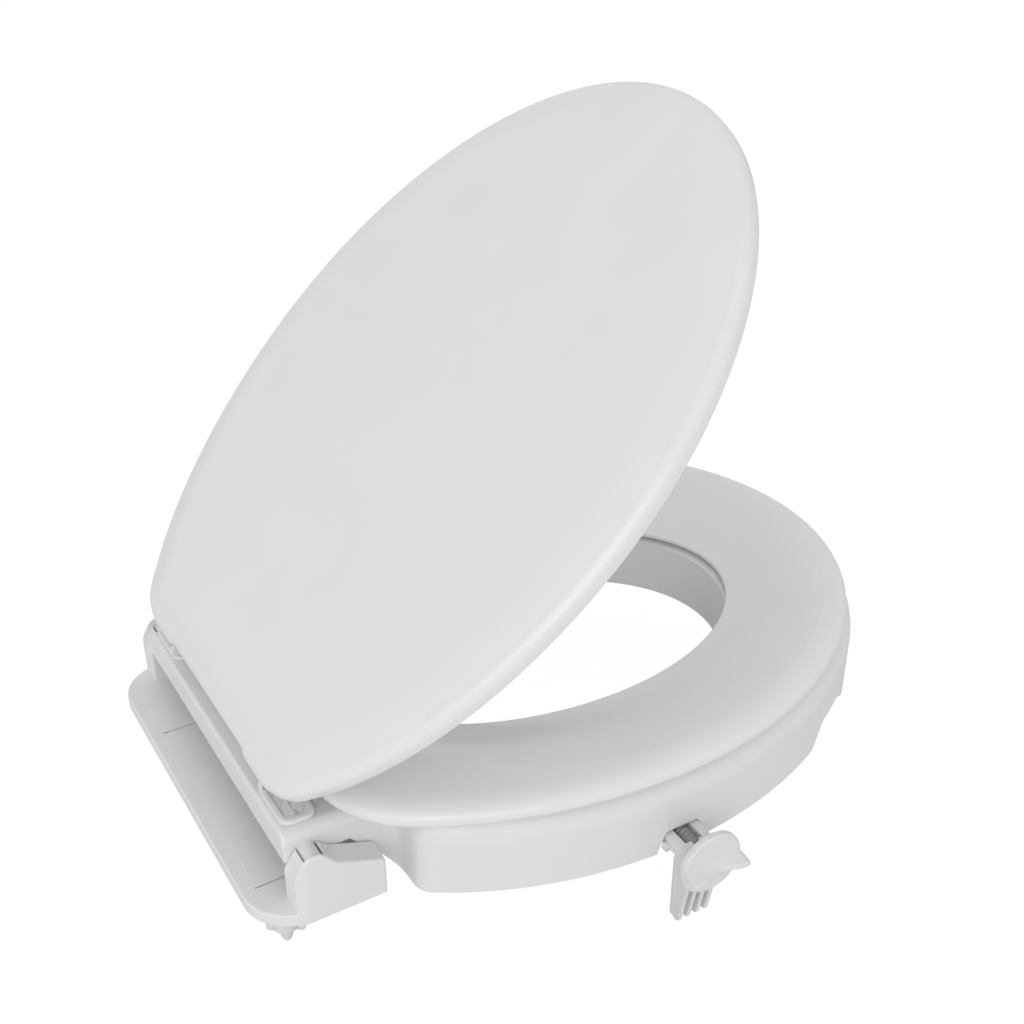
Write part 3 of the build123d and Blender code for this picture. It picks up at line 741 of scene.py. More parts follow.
@dataclass
class SeatRing:
    """Dished seat ring with its hinge ears and buffers."""

    hinge: HingeLine
    outline: Outline = Outline(-198.4, 184.0, 224.0, 242.0, -17.4, 38.0)
    opening: Outline = Outline(-212.5, 92.6, 138.4, 144.0)
    bottom: float = 59.0
    crest: float = 69.5
    crest_inset: float = 16.0
    edge: float = 14.5
    wall: float = 2.6
    opening_height: float = 46.6
    lip: float = 3.0
    rim_flat: float = 24.0
    crest_rear: float = 163.0
    under_rear: float = 151.0
    bow: float = 0.6
    ear_root: float = 8.0
    buffer_radius: float = 6.0
    buffer_height: float = 8.7
    buffer_places: tuple[Pair, Pair] = ((-50.0, 217.5), (30.0, 209.0))
    buffer_centre: float = -202.4
    buffer_half_width: float = 165.0

    def rings(self) -> list[Ring]:
        """Rings of the cross-section, round the outside, over the dish and back below."""
        hub = self.opening.centre
        made = [self.outline.ring(hub, self.bottom, 0.8), self.outline.ring(hub, self.bottom + 0.25, 0.25)]
        made.append(self.outline.ring(hub, self.bottom + 0.8))
        for inset, height in quarter((0.0, self.bottom + self.wall), (self.edge, self.crest), 10):
            made.append(self.outline.ring(hub, height, inset))
        crest = Outline(
            self.outline.centre,
            self.outline.half_width - self.crest_inset,
            self.outline.front - self.crest_inset,
            self.crest_rear,
        ).ring(hub, self.crest)
        rim = self.opening.ring(hub, self.opening_height)
        for index in range(17):
            share = index / 16
            rest = 1 - share
            level = (1 - self.bow) * rest + self.bow * rest**1.5 * (1 + 1.5 * share)
            height = self.opening_height + (self.crest - self.opening_height) * level
            made.append(between(crest, rim, share * 0.985, height))
        made.append(self.opening.ring(hub, self.opening_height - 0.6, -0.15))
        made.append(self.opening.ring(hub, self.opening_height - self.lip + 0.5, 0.0))
        made.append(self.opening.ring(hub, self.opening_height - self.lip, -0.6))
        made.append(self.opening.ring(hub, self.opening_height - self.lip, -self.lip))
        under = Outline(
            self.outline.centre,
            self.outline.half_width - self.rim_flat,
            self.outline.front - self.rim_flat,
            self.under_rear,
        ).ring(hub, self.bottom)
        low = made[-1]
        for share in (0.25, 0.5, 0.75):
            height = self.opening_height - self.lip
            made.append(between(low, under, share, height + (self.bottom - height) * share))
        made.append(under)
        return made

    def ears(self, side: Side) -> Bulk:
        """Hinge ear of one side."""
        y, z, knuckle = self.hinge.y, self.hinge.z, self.hinge.knuckle
        start, length = side.stretch(*self.hinge.ear)
        rear = self.outline.rear_y
        root = rear - self.ear_root
        outline = arc((y, z), knuckle, 90, -70, 12)
        outline += [(rear, self.bottom), (root, self.bottom), (root, self.crest - self.ear_root / 2)]
        return Bulk.prism(outline, Facing.LEFTWARD, start, length, 0.7, 2)

    def build(self) -> None:
        """Makes the seat and its buffers."""
        bulks = [Bulk.skin(self.rings(), loop=True)]
        bulks += [self.ears(side) for side in Side]
        pose_piece("seat_ring", bulks, Finishes.SEAT, "seat", ["seat"])
        low = self.bottom - self.buffer_height
        radius = self.buffer_radius
        pads = []
        for side in Side:
            for turn, reach in self.buffer_places:
                x = side.value * self.buffer_half_width * math.cos(math.radians(turn))
                y = self.buffer_centre + reach * math.sin(math.radians(turn))
                pads.append(Bulk.turned(
                    [(radius - 2.0, low), (radius - 0.9, low + 0.25), (radius - 0.25, low + 0.9),
                     (radius, low + 2.0), (radius, self.bottom - 1.2), (radius - 0.8, self.bottom)],
                    Vector((x, y, 0)), Facing.UP))
        pose_piece("seat_pads", pads, Finishes.RUBBER, "seat", ["seat_buffers"])


@dataclass
class Riser:
    """Hollow riser ring with the neck and trunnions at its back."""

    band: Outline = Outline(-202.4, 179.0, 231.5, 223.0, -57.2, 6.5)
    opening: Outline = Outline(-212.5, 100.0, 135.5, 142.0)
    upright: float = 7.0
    band_height: float = 14.0
    height: float = 50.0
    edge: float = 15.0
    wall: float = 4.0
    deck_flat: float = 20.0
    deck_rear: float = 150.0
    deck_inner: float = 40.0
    neck_half_width: float = 108.5
    neck_rear: float = 7.9
    neck_bottom: float = 31.0
    neck_top: float = 49.0
    neck_slope: float = -30.0
    neck_edge: float = 2.6
    neck_shoulder: float = 7.0
    neck_flare: float = 10.0
    trunnion: tuple[float, float, float] = (-4.4, 36.5, 5.0)
    trunnion_end: float = 124.2
    rib_count: int = 10
    rib_thickness: float = 3.0
    clamp_y: float = -202.0
    clamp_z: float = 9.0
    arch: tuple[Pair, Pair] = ((16.0, 3.0), (10.6, 14.8))
    arch_bevel: float = 1.2
    front_arch: tuple[float, float, float, float] = (33.0, 19.0, 8.0, 15.0)
    front_arch_place: Pair = (-137.4, -346.2)
    front_arch_turn: float = 32.0
    guide: Pair = (156.0, 166.0)
    nut_block: Pair = (126.0, 138.0)
    guide_width: float = 34.0
    spindle_bore: float = 4.85
    bar_offset: float = 8.4
    bar_slot: Pair = (2.95, 4.25)
    nut_pocket: Pair = (3.25, 8.25)

    def deck(self, hub: float, height: float) -> Ring:
        """Ring where the flat rim breaks into the slope."""
        band, flat = self.band, self.deck_flat
        return Outline(
            band.centre, band.half_width - flat, band.front - flat, self.deck_rear
        ).ring(hub, height)

    def rings(self) -> list[Ring]:
        """Rings of the cross-section, up the outside, over the deck and back inside."""
        hub = self.opening.centre
        made = [self.band.ring(hub, 0.0, 0.6), self.band.ring(hub, 0.6), self.band.ring(hub, self.upright)]
        for index in range(1, 9):
            made.append(self.band.ring(hub, self.upright + (self.band_height - self.upright) * index / 8))
        for inset, height in quarter((0.0, self.height - self.edge), (self.edge, self.height), 10):
            made.append(self.band.ring(hub, height, inset))
        deck = self.deck(hub, self.height)
        rim = self.opening.ring(hub, self.deck_inner)
        made.append(deck)
        for share in (0.2, 0.4, 0.6, 0.8, 0.97):
            made.append(between(deck, rim, share, self.height + (self.deck_inner - self.height) * share))
        made.append(self.opening.ring(hub, self.deck_inner - 1.0))
        made.append(self.opening.ring(hub, 0.6))
        made.append(self.opening.ring(hub, 0.0, -0.6))
        made.append(self.opening.ring(hub, 0.0, -self.wall))
        made.append(self.opening.ring(hub, self.deck_inner - self.wall, -self.wall))
        made.append(self.deck(hub, self.height - self.wall))
        wall = self.wall
        inside = quarter((wall, self.height - self.edge), (self.edge, self.height - wall), 6)
        for inset, height in reversed(inside):
            made.append(self.band.ring(hub, height, inset))
        made.append(self.band.ring(hub, self.band_height, self.wall))
        made.append(self.band.ring(hub, self.upright, self.wall))
        made.append(self.band.ring(hub, 0.0, self.wall))
        return made

    def neck(self) -> Bulk:
        """Neck from the rear edge to the ring, hollow below."""
        sections = []
        places = []
        for index in range(5):
            turn = math.pi / 2 * index / 4
            places.append((
                self.neck_rear - self.neck_edge * (1 - math.cos(turn)),
                self.neck_edge * (1 - math.sin(turn)), 0.0))
        ring_back = self.band.rear_y
        start = ring_back + self.neck_flare
        places += [(self.neck_slope, 0.0, 0.0), (start, 0.0, 0.0)]
        for index in range(1, 9):
            turn = math.pi / 2 * index / 8
            places.append((
                start - self.neck_flare * math.sin(turn), 0.0, self.neck_flare * (1 - math.cos(turn))))
        places.append((ring_back - self.wall, 0.0, self.neck_flare))
        for y, inset, flare in places:
            half = self.neck_half_width + flare - inset * 0.4
            top = self.neck_top - inset
            round_off = self.neck_shoulder
            drop = min(1.0, max(0.0, (self.neck_slope - y) / (self.neck_slope - ring_back)))
            foot = self.neck_bottom * (1 - drop)
            shape = [(half, foot)] + arc((half - round_off, top - round_off), round_off, 0, 90, 8)
            shape += arc((-half + round_off, top - round_off), round_off, 90, 180, 8) + [(-half, foot)]
            sections.append([Vector((x, y, z)) for x, z in shape])
        solid = Bulk.skin(sections)
        half = self.neck_half_width - self.wall
        pitch = self.neck_half_width / 2
        rib = self.rib_thickness / 2
        walls = [-half, -pitch - rib, -pitch + rib, -rib, rib, pitch - rib, pitch + rib, half]
        cells = [
            Bulk.block((low, ring_back, -1.0), (high, self.neck_rear - self.wall, self.neck_top - self.wall))
            for low, high in zip(walls[::2], walls[1::2])
        ]
        return solid.carved(cells)

    def ribs(self) -> list[Bulk]:
        """Radial ribs under the deck."""
        hub = self.opening.centre
        outer = self.band.ring(hub, 0.0, self.wall - 0.5)
        deck = self.deck(hub, 0.0)
        inner = self.opening.ring(hub, 0.0, 0.5 - self.wall)
        made = []
        for index in range(self.rib_count):
            turn = math.tau * (index + 0.5) / self.rib_count
            place = round(turn / math.tau * DIRECTIONS) % DIRECTIONS
            reach = [
                (ring[place] - Vector((0, hub, 0))).xy.length for ring in (inner, deck, outer)
            ]
            top = self.height - self.wall + 0.4
            bend = self.edge - self.wall + 0.4
            outline = [(reach[0], 0.3), (reach[2], 0.3), (reach[2], self.band_height)]
            outline += arc((reach[2] - bend, top - bend), bend, 0, 90, 6)
            outline += [(reach[1], top), (reach[0], self.deck_inner - self.wall + 0.4)]
            rib = Bulk.prism(outline, Facing.REARWARD, -self.rib_thickness / 2, self.rib_thickness)
            made.append(rib.moved(Matrix.Translation((0, hub, 0)) @ Matrix.Rotation(turn, 4, "Z")))
        return made

    def gate(self, side: Side) -> Bulk:
        """Opening in the outer wall through which the clamp reaches out, with a softened outer edge."""
        (wide, shoulder), (narrow, top) = self.arch
        half, bevel = self.band.half_width, self.arch_bevel
        stations = ((self.guide[1] + 0.5, 0.0), (half - 0.6, 0.0), (half + 0.4, bevel), (half + 8.0, bevel))
        rings = []
        for x, grow in stations:
            foot, brow, lintel = wide + grow, narrow + grow, top + grow
            outline = softened([
                (foot, -1.0, 0.0), (foot, shoulder, 2.0), (brow, lintel, 2.0),
                (-brow, lintel, 2.0), (-foot, shoulder, 2.0), (-foot, -1.0, 0.0)], 4)
            rings.append([Vector((side.value * x, self.clamp_y + y, z)) for y, z in outline])
        return Bulk.skin(rings)

    def front_gate(self, side: Side) -> Bulk:
        """Shallow arch in the lower edge at a front corner of the ring."""
        wide, rear, front, top = self.front_arch
        outline = softened([(wide, -1.0, 0.0), (rear, top, 9.0), (-front, top, 12.0), (-wide, -1.0, 0.0)])
        x, y = self.front_arch_place
        cutter = Bulk.prism(outline, Facing.LEFTWARD, -14.0, 26.0)
        turn = side.value * math.radians(-self.front_arch_turn)
        return cutter.moved(Matrix.Translation((-side.value * x, y, 0)) @ Matrix.Rotation(turn, 4, "Z"))

    def bore(self, start: float, length: float) -> Bulk:
        """Bore for the spindle through a wall of some length from start."""
        return Bulk.turned(
            [(self.spindle_bore, 0.0), (self.spindle_bore, length + 2)],
            Vector((start - 1, self.clamp_y, self.clamp_z)), Facing.LEFTWARD)

    def guides(self, side: Side) -> list[Bulk]:
        """Wall that guides the clamp bars and block that holds the clamp nut."""
        low, high = self.clamp_y - self.guide_width / 2, self.clamp_y + self.guide_width / 2
        start, length = side.stretch(*self.guide)
        top = self.height - self.wall + 0.3
        wall = Bulk.block((start, low, 0.2), (start + length, high, top))
        holes = [self.bore(start, length)]
        across, upward = self.bar_slot
        for offset in (-self.bar_offset, self.bar_offset):
            holes.append(Bulk.block(
                (start - 1, self.clamp_y + offset - across, self.clamp_z - upward),
                (start + length + 1, self.clamp_y + offset + across, self.clamp_z + upward)))
        made = [wall.carved(holes)]
        start, length = side.stretch(*self.nut_block)
        block = Bulk.block((start, low, 0.2), (start + length, high, self.deck_inner))
        middle = start + length / 2
        thick, wide = self.nut_pocket
        pocket = Bulk.block(
            (middle - thick, self.clamp_y - wide, -1.0),
            (middle + thick, self.clamp_y + wide, self.clamp_z + wide))
        made.append(block.carved([self.bore(start, length), pocket]))
        return made

    def build(self) -> None:
        """Makes the riser."""
        ring = Bulk.skin(self.rings(), loop=True).carved(
            [cut for side in Side for cut in (self.gate(side), self.front_gate(side))])
        bulks = [ring, self.neck(), *self.ribs()]
        y, z, radius = self.trunnion
        for side in Side:
            bulks += self.guides(side)
            start, length = side.stretch(self.neck_half_width - 1.0, self.trunnion_end)
            profile = [(radius, 0.0), (radius, length - 0.6), (radius - 0.6, length)]
            if side is Side.RIGHT:
                profile = [(radius - 0.6, 0.0), (radius, 0.6), (radius, length)]
            bulks.append(Bulk.turned(profile, Vector((start, y, z)), Facing.LEFTWARD))
        pose_piece("riser_ring", bulks, Finishes.SHELL, "riser", ["riser"])


@dataclass
class RearPlate:
    """Plate bolted to the bowl, with the two blocks that carry the trunnions and the bolt covers."""

    half_width: float = 126.0
    rear: float = 29.6
    front: float = -42.9
    thickness: float = 8.4
    corner: float = 29.0
    edge: float = 1.1
    block_edge: float = 1.6
    block_inner: float = 109.0
    wall_inner: float = 124.1
    tuck: float = 0.3
    rear_wall: tuple[Pair, Pair] = ((9.1, 28.0), (1.7, 39.2))
    front_wall: tuple[Pair, Pair] = ((-13.9, 36.2), (-10.9, 39.2))
    ramp: tuple[Pair, Pair] = ((-16.4, 34.5), (-42.9, 24.0))
    cap_shoulder: float = 32.0
    cap_top: tuple[float, float, float] = (2.6, -7.2, 44.8)
    cap_round: float = 7.5
    trunnion: Pair = (-4.4, 36.5)
    notch: float = 5.8
    bolt_spacing: float = 150.0
    cover: Pair = (38.6, 42.6)
    cover_thickness: float = 3.4
    cover_rise: float = 0.35
    gap: float = 0.06
    finger_gap: float = 1.1

    def outline(self) -> list[Pair]:
        """Outline of the plate, round at its two rear corners."""
        r = self.corner
        x, y = self.half_width - r, self.rear - r
        side = [(self.half_width - self.tuck, y), (self.half_width - self.tuck, self.front + self.tuck)]
        rim = arc((x, y), r, 3, 90, 20) + arc((-x, y), r, 90, 177, 20)
        return rim + [(-u, v) for u, v in side] + side[::-1]

    def block(self, side: Side) -> Bulk:
        """Humped block of one side, open inside its thin outer wall, where the trunnion lies."""
        (rear, shoulder), peak = self.rear_wall
        top_rear, top_front, height = self.cap_top
        r = self.cap_round
        hump = softened([
            (rear, -self.corner, 0.0), (rear, self.cap_shoulder, r),
            (top_rear, height, r), (top_front, height, r),
            (*self.ramp[0], r), (*self.ramp[1], 0.0), (self.front, -self.corner, 0.0)])
        solid = Bulk.prism(hump, Facing.LEFTWARD, *side.stretch(self.block_inner, self.half_width))
        solid.round_edges(self.block_edge, 4, 50.0)
        reach = self.half_width - self.corner
        trim = arc((reach, self.rear - self.corner), self.corner, 0, 40, 12)
        beyond = self.half_width + 5.0
        trim += [(beyond, trim[-1][1]), (beyond, trim[0][1])]
        trim = [(side.value * u, v) for u, v in trim]
        (y, z), wide = self.trunnion, self.notch
        above, clear = 2 * height, 5.0
        lip_y, lip_z = self.ramp[0]
        space = [(lip_y - 1.0, above), (lip_y - 0.8, lip_z - 0.3), *self.front_wall]
        space += [(y - wide, self.front_wall[1][1] - 0.4), *arc((y, z), wide, 180, 360, 16)]
        space += [
            (y + wide, peak[1] - 0.4), peak, (rear, shoulder),
            (rear + clear, shoulder - clear), (rear + clear, above)]
        hollow = Bulk.prism(space, Facing.LEFTWARD, *side.stretch(self.block_inner - clear, self.wall_inner))
        below = Bulk.block((-above * 2, -above, -above), (above * 2, above, 0.05))
        return solid.carved([hollow, below, Bulk.prism(trim, Facing.UP, -clear, above)])

    def build(self) -> None:
        """Makes the plate, its blocks and the covers."""
        body = Bulk.prism(self.outline(), Facing.UP, 0.0, self.thickness)
        body.round_edges(self.edge, 3, 40.0)
        cuts = []
        for side in Side:
            x = side.value * self.bolt_spacing / 2
            wide, deep = self.cover[0] / 2 + self.gap, self.cover[1] / 2 + self.gap
            cuts.append(Bulk.block(
                (x - wide - self.finger_gap, -deep, self.thickness - self.cover_thickness),
                (x + wide, deep, self.thickness + 1.0)))
            cuts.append(Bulk.block((x - 13.5, -6.75, 2.0), (x + 13.5, 6.75, self.thickness)))
            cuts.append(Bulk.block((x - 11.1, -4.15, -1.0), (x + 11.1, 4.15, 3.0)))
        bulks = [body.carved(cuts), *(self.block(side) for side in Side)]
        pose_piece("rear_plate", bulks, Finishes.SHELL, "base", ["mounting_plate"])
        for side in Side:
            x = side.value * self.bolt_spacing / 2
            wide, deep = self.cover[0] / 2, self.cover[1] / 2
            cover = Bulk.block(
                (x - wide, -deep, self.thickness - self.cover_thickness),
                (x + wide, deep, self.thickness + self.cover_rise), 0.3)
            pose_piece(f"cover_{side.word}", [cover], Finishes.SHELL, "base", [f"bolt_cover_{side.word}"])


@dataclass
class FixingSet:
    """Bolts with their washers and wing nuts."""

    spacing: float = 150.0
    radius: float = 3.9
    top: float = 2.0
    length: float = 61.5
    head: Pair = (13.0, 2.8)
    nut_top: float = -40.0
    nut_height: float = 10.0
    nut_radius: float = 7.5
    wing_span: float = 23.0
    wing_drop: float = 13.0
    wing_thickness: float = 3.0
    wing_turn: float = 61.0
    tip: tuple[Pair, ...] = ((0.8, 0.0), (1.6, 0.6), (2.5, 1.9), (3.3, 3.7), (3.7, 5.3), (3.75, 8.0))
    washer_radius: float = 11.0
    washer_thickness: float = 1.6

    def build(self) -> None:
        """Makes bolts, washers and wing nuts."""
        bolts, washers, nuts = [], [], []
        for side in Side:
            x = side.value * self.spacing / 2
            half = self.head[0] / 2
            bolts.append(Bulk.block(
                (x - half, -half, self.top), (x + half, half, self.top + self.head[1]), 0.5))
            bolts.append(Bulk.turned(
                [(self.radius - 0.2, -14.0), (self.radius, -13.0), (self.radius, self.top + 0.5)],
                Vector((x, 0, 0)), Facing.UP))
            foot = Vector((x, 0, -self.length))
            bolts.append(Bulk.turned(list(self.tip), foot, Facing.UP))
            bare = self.tip[-2][1]
            bolts.append(Bulk.threaded(
                self.radius, 0.55, 2.0, self.length - 13.0 - bare, foot + Vector((0, 0, bare)), Facing.UP))
            low = self.nut_top
            washers.append(self.ring(x, low, self.radius + 0.25, self.washer_radius, self.washer_thickness))
            nuts.append(self.ring(
                x, low - self.nut_height, self.radius + 0.08, self.nut_radius, self.nut_height))
            for turn in (self.wing_turn, self.wing_turn + 180.0):
                wing = rounded_box((self.nut_radius - 2.0, -self.wing_drop), (self.wing_span / 2, -1.0), 2.6)
                blade = Bulk.prism(
                    wing, Facing.REARWARD, -self.wing_thickness / 2, self.wing_thickness, 0.7, 2)
                nuts.append(blade.moved(
                    Matrix.Translation((x, 0, low)) @ Matrix.Rotation(math.radians(turn), 4, "Z")))
        pose_piece("threaded_bolts", bolts, Finishes.FIXING, "base", ["fixing_bolts"])
        pose_piece("washers", washers, Finishes.RUBBER, "base", ["fixing_washers"])
        pose_piece("butterfly_nuts", nuts, Finishes.FIXING, "base", ["wing_nuts"])

    @staticmethod
    def ring(x: float, low: float, bore: float, radius: float, height: float) -> Bulk:
        """Round ring with softened edges.

        Args:
            x: Place of its axis.
            low: Height of its foot.
            bore: Radius of its bore.
            radius: Outer radius.
            height: Its height.

        Returns:
            The ring.
        """
        soft = min(0.6, height / 3)
        profile = [(bore, low), (radius - soft, low), (radius, low + soft), (radius, low + height - soft),
                   (radius - soft, low + height), (bore, low + height)]
        turns = [math.tau * index / 40 for index in range(40)]
        rings = [[Vector((x + r * math.cos(t), r * math.sin(t), h)) for t in turns] for r, h in profile]
        return Bulk.skin(rings, loop=True)


@dataclass
class HingeSet:
    """Hinge bases on the neck with their screws, pins and nuts."""

    hinge: HingeLine
    floor: float = 49.0
    tray: tuple[Pair, Pair] = ((65.0, -15.8), (102.6, 5.0))
    tray_floor: float = 1.2
    lip_height: float = 3.0
    lip: float = 3.1
    corner: float = 6.5
    post_rear: float = -9.0
    post_front: float = -15.0
    post_arm: float = 4.4
    boss: Pair = (2.4, 54.7)
    boss_half: Pair = (2.6, 3.3)
    boss_hole: Pair = (1.2, 2.2)
    boss_stretch: Pair = (69.5, 73.0)
    screw: Pair = (90.0, -6.0)
    screw_head: Pair = (6.4, 0.6)
    slot: float = 1.9

    def base(self, side: Side) -> list[Bulk]:
        """Tray, post and boss of one side."""
        (inner, front), (outer, rear) = self.tray
        start, length = side.stretch(inner, outer)
        outline = rounded_box((start, front), (start + length, rear), self.corner)
        tray = Bulk.prism(outline, Facing.UP, self.floor, self.lip_height)
        tray.round_edges(1.2, 4, 40.0)
        lip = self.lip
        hollow = rounded_box(
            (start + lip, front + lip), (start + length - lip, rear - lip), self.corner - lip)
        seat = Bulk.turned(
            [(self.screw_head[0] + 0.1, self.floor - 2.0), (self.screw_head[0] + 0.1, self.floor + 9.0)],
            Vector((side.value * self.screw[0], self.screw[1], 0)), Facing.UP)
        made = [tray.carved([Bulk.prism(hollow, Facing.UP, self.floor + self.tray_floor, 9.0), seat])]
        y, z = self.hinge.y, self.hinge.z
        start, length = side.stretch(*self.hinge.post)
        arm = [
            (self.post_front, self.floor), (self.post_rear, self.floor), (self.post_rear, z - self.post_arm)]
        arm += arc((y, z), self.hinge.knuckle, -62, 62, 12) + [(self.post_front + 3.0, z + self.post_arm)]
        arm += [(self.post_front, z + self.post_arm - 3.0)]
        made.append(Bulk.prism(arm, Facing.LEFTWARD, start, length, 0.6, 2))
        y, z = self.boss
        start, length = side.stretch(*self.boss_stretch)
        wide, high = self.boss_half
        lug = Bulk.prism(
            softened([(y - wide, self.floor, 0.0), (y + wide, self.floor, 0.0), (y + wide, z + high, 2.4),
                      (y - wide, z + high, 2.4)]),
            Facing.LEFTWARD, start, length)
        lug.round_edges(0.6, 2, 40.0)
        wide, high = self.boss_hole
        hole = Bulk.prism(
            rounded_box((y - wide, z - high), (y + wide, z + high), 0.9), Facing.LEFTWARD,
            *side.stretch(self.boss_stretch[0] + 0.8, self.boss_stretch[1] + 1.0))
        made.append(lug.carved([hole]))
        return made

    def screw_bulks(self, side: Side) -> list[Bulk]:
        """Slotted screw of one side."""
        x, y = side.value * self.screw[0], self.screw[1]
        low = self.floor + self.tray_floor
        radius, height = self.screw_head
        under = self.floor + 0.05
        head = Bulk.turned(
            [(radius, under), (radius, low + height - 0.5), (radius - 0.15, low + height - 0.15),
             (radius - 0.5, low + height)], Vector((x, y, 0)), Facing.UP)
        groove = Bulk.block(
            (x - radius - 1, y - self.slot / 2, under + 0.15),
            (x + radius + 1, y + self.slot / 2, low + height + 1))
        rod = Bulk.threaded(3.0, 0.4, 1.25, 15.2, Vector((x, y, low - 15.2)), Facing.UP)
        return [head.carved([groove]), rod]

    def build(self) -> None:
        """Makes the bases and screws, and dresses the pins and nuts."""
        for side in Side:
            name = f"hinge_base_{side.word}"
            pose_piece(f"tray_{side.word}", self.base(side), Finishes.SHELL, "riser", [name])
        screws = [bulk for side in Side for bulk in self.screw_bulks(side)]
        pose_piece("slotted_screws", screws, Finishes.FIXING, "riser", ["hinge_screws"])
        dress_node("hinge_pins", Finishes.STEEL)
        dress_node("hinge_nuts", Finishes.FIXING)


@dataclass
class SideClamp:
    """Screw clamp of one side: jaw with guide bars, spindle and knob."""

    side: Side
    y: float = -202.0
    z: float = 9.0
    jaw: float = 186.0
    jaw_thickness: float = 4.0
    jaw_width: float = 22.0
    jaw_bottom: float = -42.4
    rib_count: int = 4
    rib_thickness: float = 2.8
    rib_reach: Pair = (4.0, 11.2)
    head_end: float = 201.6
    head_bottom: float = -3.0
    bar_offset: float = 8.4
    bar: Pair = (5.4, 8.0)
    bar_end: float = 150.0
    stop: Pair = (151.7, 155.7)
    hook: Pair = (178.6, 183.0)
    spindle: float = 4.6
    spindle_end: float = 122.0
    knob_place: float = 202.4
    knob: Pair = (19.8, 4.6)
    grip: tuple[float, float, float] = (38.6, 10.4, 3.4)
    scoop: float = 4.2
    grip_root: float = 2.4

    def jaw_bulks(self) -> list[Bulk]:
        """Jaw plate, ribs, head and guide bars."""
        face = self.jaw + self.jaw_thickness
        half = self.jaw_width / 2
        bar_width, bar_height = self.bar
        bar_low, bar_high = self.z - bar_height / 2, self.z + bar_height / 2
        reach = self.bar_offset + bar_width / 2
        plate = Bulk.prism(
            rounded_box((self.y - half, self.jaw_bottom), (self.y + half, bar_low), 3.0),
            Facing.LEFTWARD, *self.side.stretch(self.jaw, face))
        plate.round_edges(0.7, 2, 40.0)
        made = [plate]
        sign = self.side.value
        outline = softened([
            (sign * (face - 1.0), self.jaw_bottom + 0.4, 0.0),
            (sign * (face + self.rib_reach[0]), self.jaw_bottom + 0.4, 2.5),
            (sign * (face + self.rib_reach[1]), self.head_bottom + 0.5, 0.0),
            (sign * (face - 1.0), self.head_bottom + 0.5, 0.0)], 5)
        pitch = (self.jaw_width - 0.6 - self.rib_thickness) / (self.rib_count - 1)
        for index in range(self.rib_count):
            rib = Bulk.prism(
                outline, Facing.REARWARD, self.y - half + 0.3 + index * pitch, self.rib_thickness)
            made.append(rib.round_edges(0.5, 2, 40.0))
        head = Bulk.prism(
            rounded_box(
                (self.y - reach - 0.1, self.head_bottom), (self.y + reach + 0.1, bar_high + 0.1), 0.8),
            Facing.LEFTWARD, *self.side.stretch(face - 0.3, self.head_end))
        bore = Bulk.turned(
            [(self.spindle + 0.08, -300.0), (self.spindle + 0.08, 300.0)],
            Vector((0, self.y, self.z)), Facing.LEFTWARD)
        made.append(head.carved([bore]))
        bar_start, bar_length = self.side.stretch(self.bar_end, face)
        stop_start, stop_length = self.side.stretch(self.stop[0], self.stop[1])
        hook_start, hook_length = self.side.stretch(self.hook[0], self.hook[1])
        for way in (-1, 1):
            near, far = sorted((self.y + way * (reach - bar_width), self.y + way * reach))
            made.append(Bulk.block((bar_start, near, bar_low), (bar_start + bar_length, far, bar_high), 0.5))
            near, far = sorted((self.y + way * (reach - 1.0), self.y + way * (reach + 3.0)))
            made.append(Bulk.block(
                (stop_start, near, bar_low), (stop_start + stop_length, far, bar_high), 0.4))
            made.append(Bulk.block(
                (hook_start, near, bar_low - 0.6), (hook_start + hook_length, far, bar_low + 3.4), 0.5))
        return made

    def knob_bulks(self) -> list[Bulk]:
        """Knob disc with its flat grip."""
        radius, thick = self.knob
        face = [(radius - 0.6, 0.0), (radius, 0.6), (radius, thick - 1.6), (radius - 0.25, thick - 0.8),
                (radius - 0.8, thick - 0.25), (radius - 1.6, thick)]
        sign = self.side.value
        disc = Bulk.skin([
            [Vector((sign * (self.knob_place + h), self.y + r * math.cos(t), self.z + r * math.sin(t)))
             for t in (math.tau * index / 72 for index in range(72))]
            for r, h in face
        ])
        return [disc, self.grip_bulk()]

    def grip_bulk(self) -> Bulk:
        """Flat grip, scooped between its two ends, on a root that flows into the disc."""
        length, reach, width = self.grip
        root = self.grip_root
        face = self.knob_place + self.knob[1]
        stations = 48
        rings = []
        for index in range(stations + 1):
            place = 2 * index / stations - 1
            dip = self.scoop * (1 + math.cos(math.pi * min(1.0, abs(place) / 0.86))) / 2
            slim = max(0.0, (abs(place) - 0.9) / 0.1)
            half = max(0.2, width / 2 * math.sqrt(1 - slim**2))
            top = reach - dip - 1.5 * slim**2
            tip = min(half, 1.3) * 0.9
            swell = root * max(0.15, 1 - slim)
            side = [(half + swell, -1.8)]
            side += [(half + swell - x, swell - y) for x, y in arc((0, 0), swell, 90, 0, 7)][::-1]
            side += arc((half - tip, top - tip), tip, 0, 90, 5)
            section = side + [(-w, h) for w, h in reversed(side)]
            along = self.y + place * length / 2
            rings.append([Vector((self.side.value * (face + h), along, self.z + w)) for w, h in section])
        return Bulk.skin(rings)

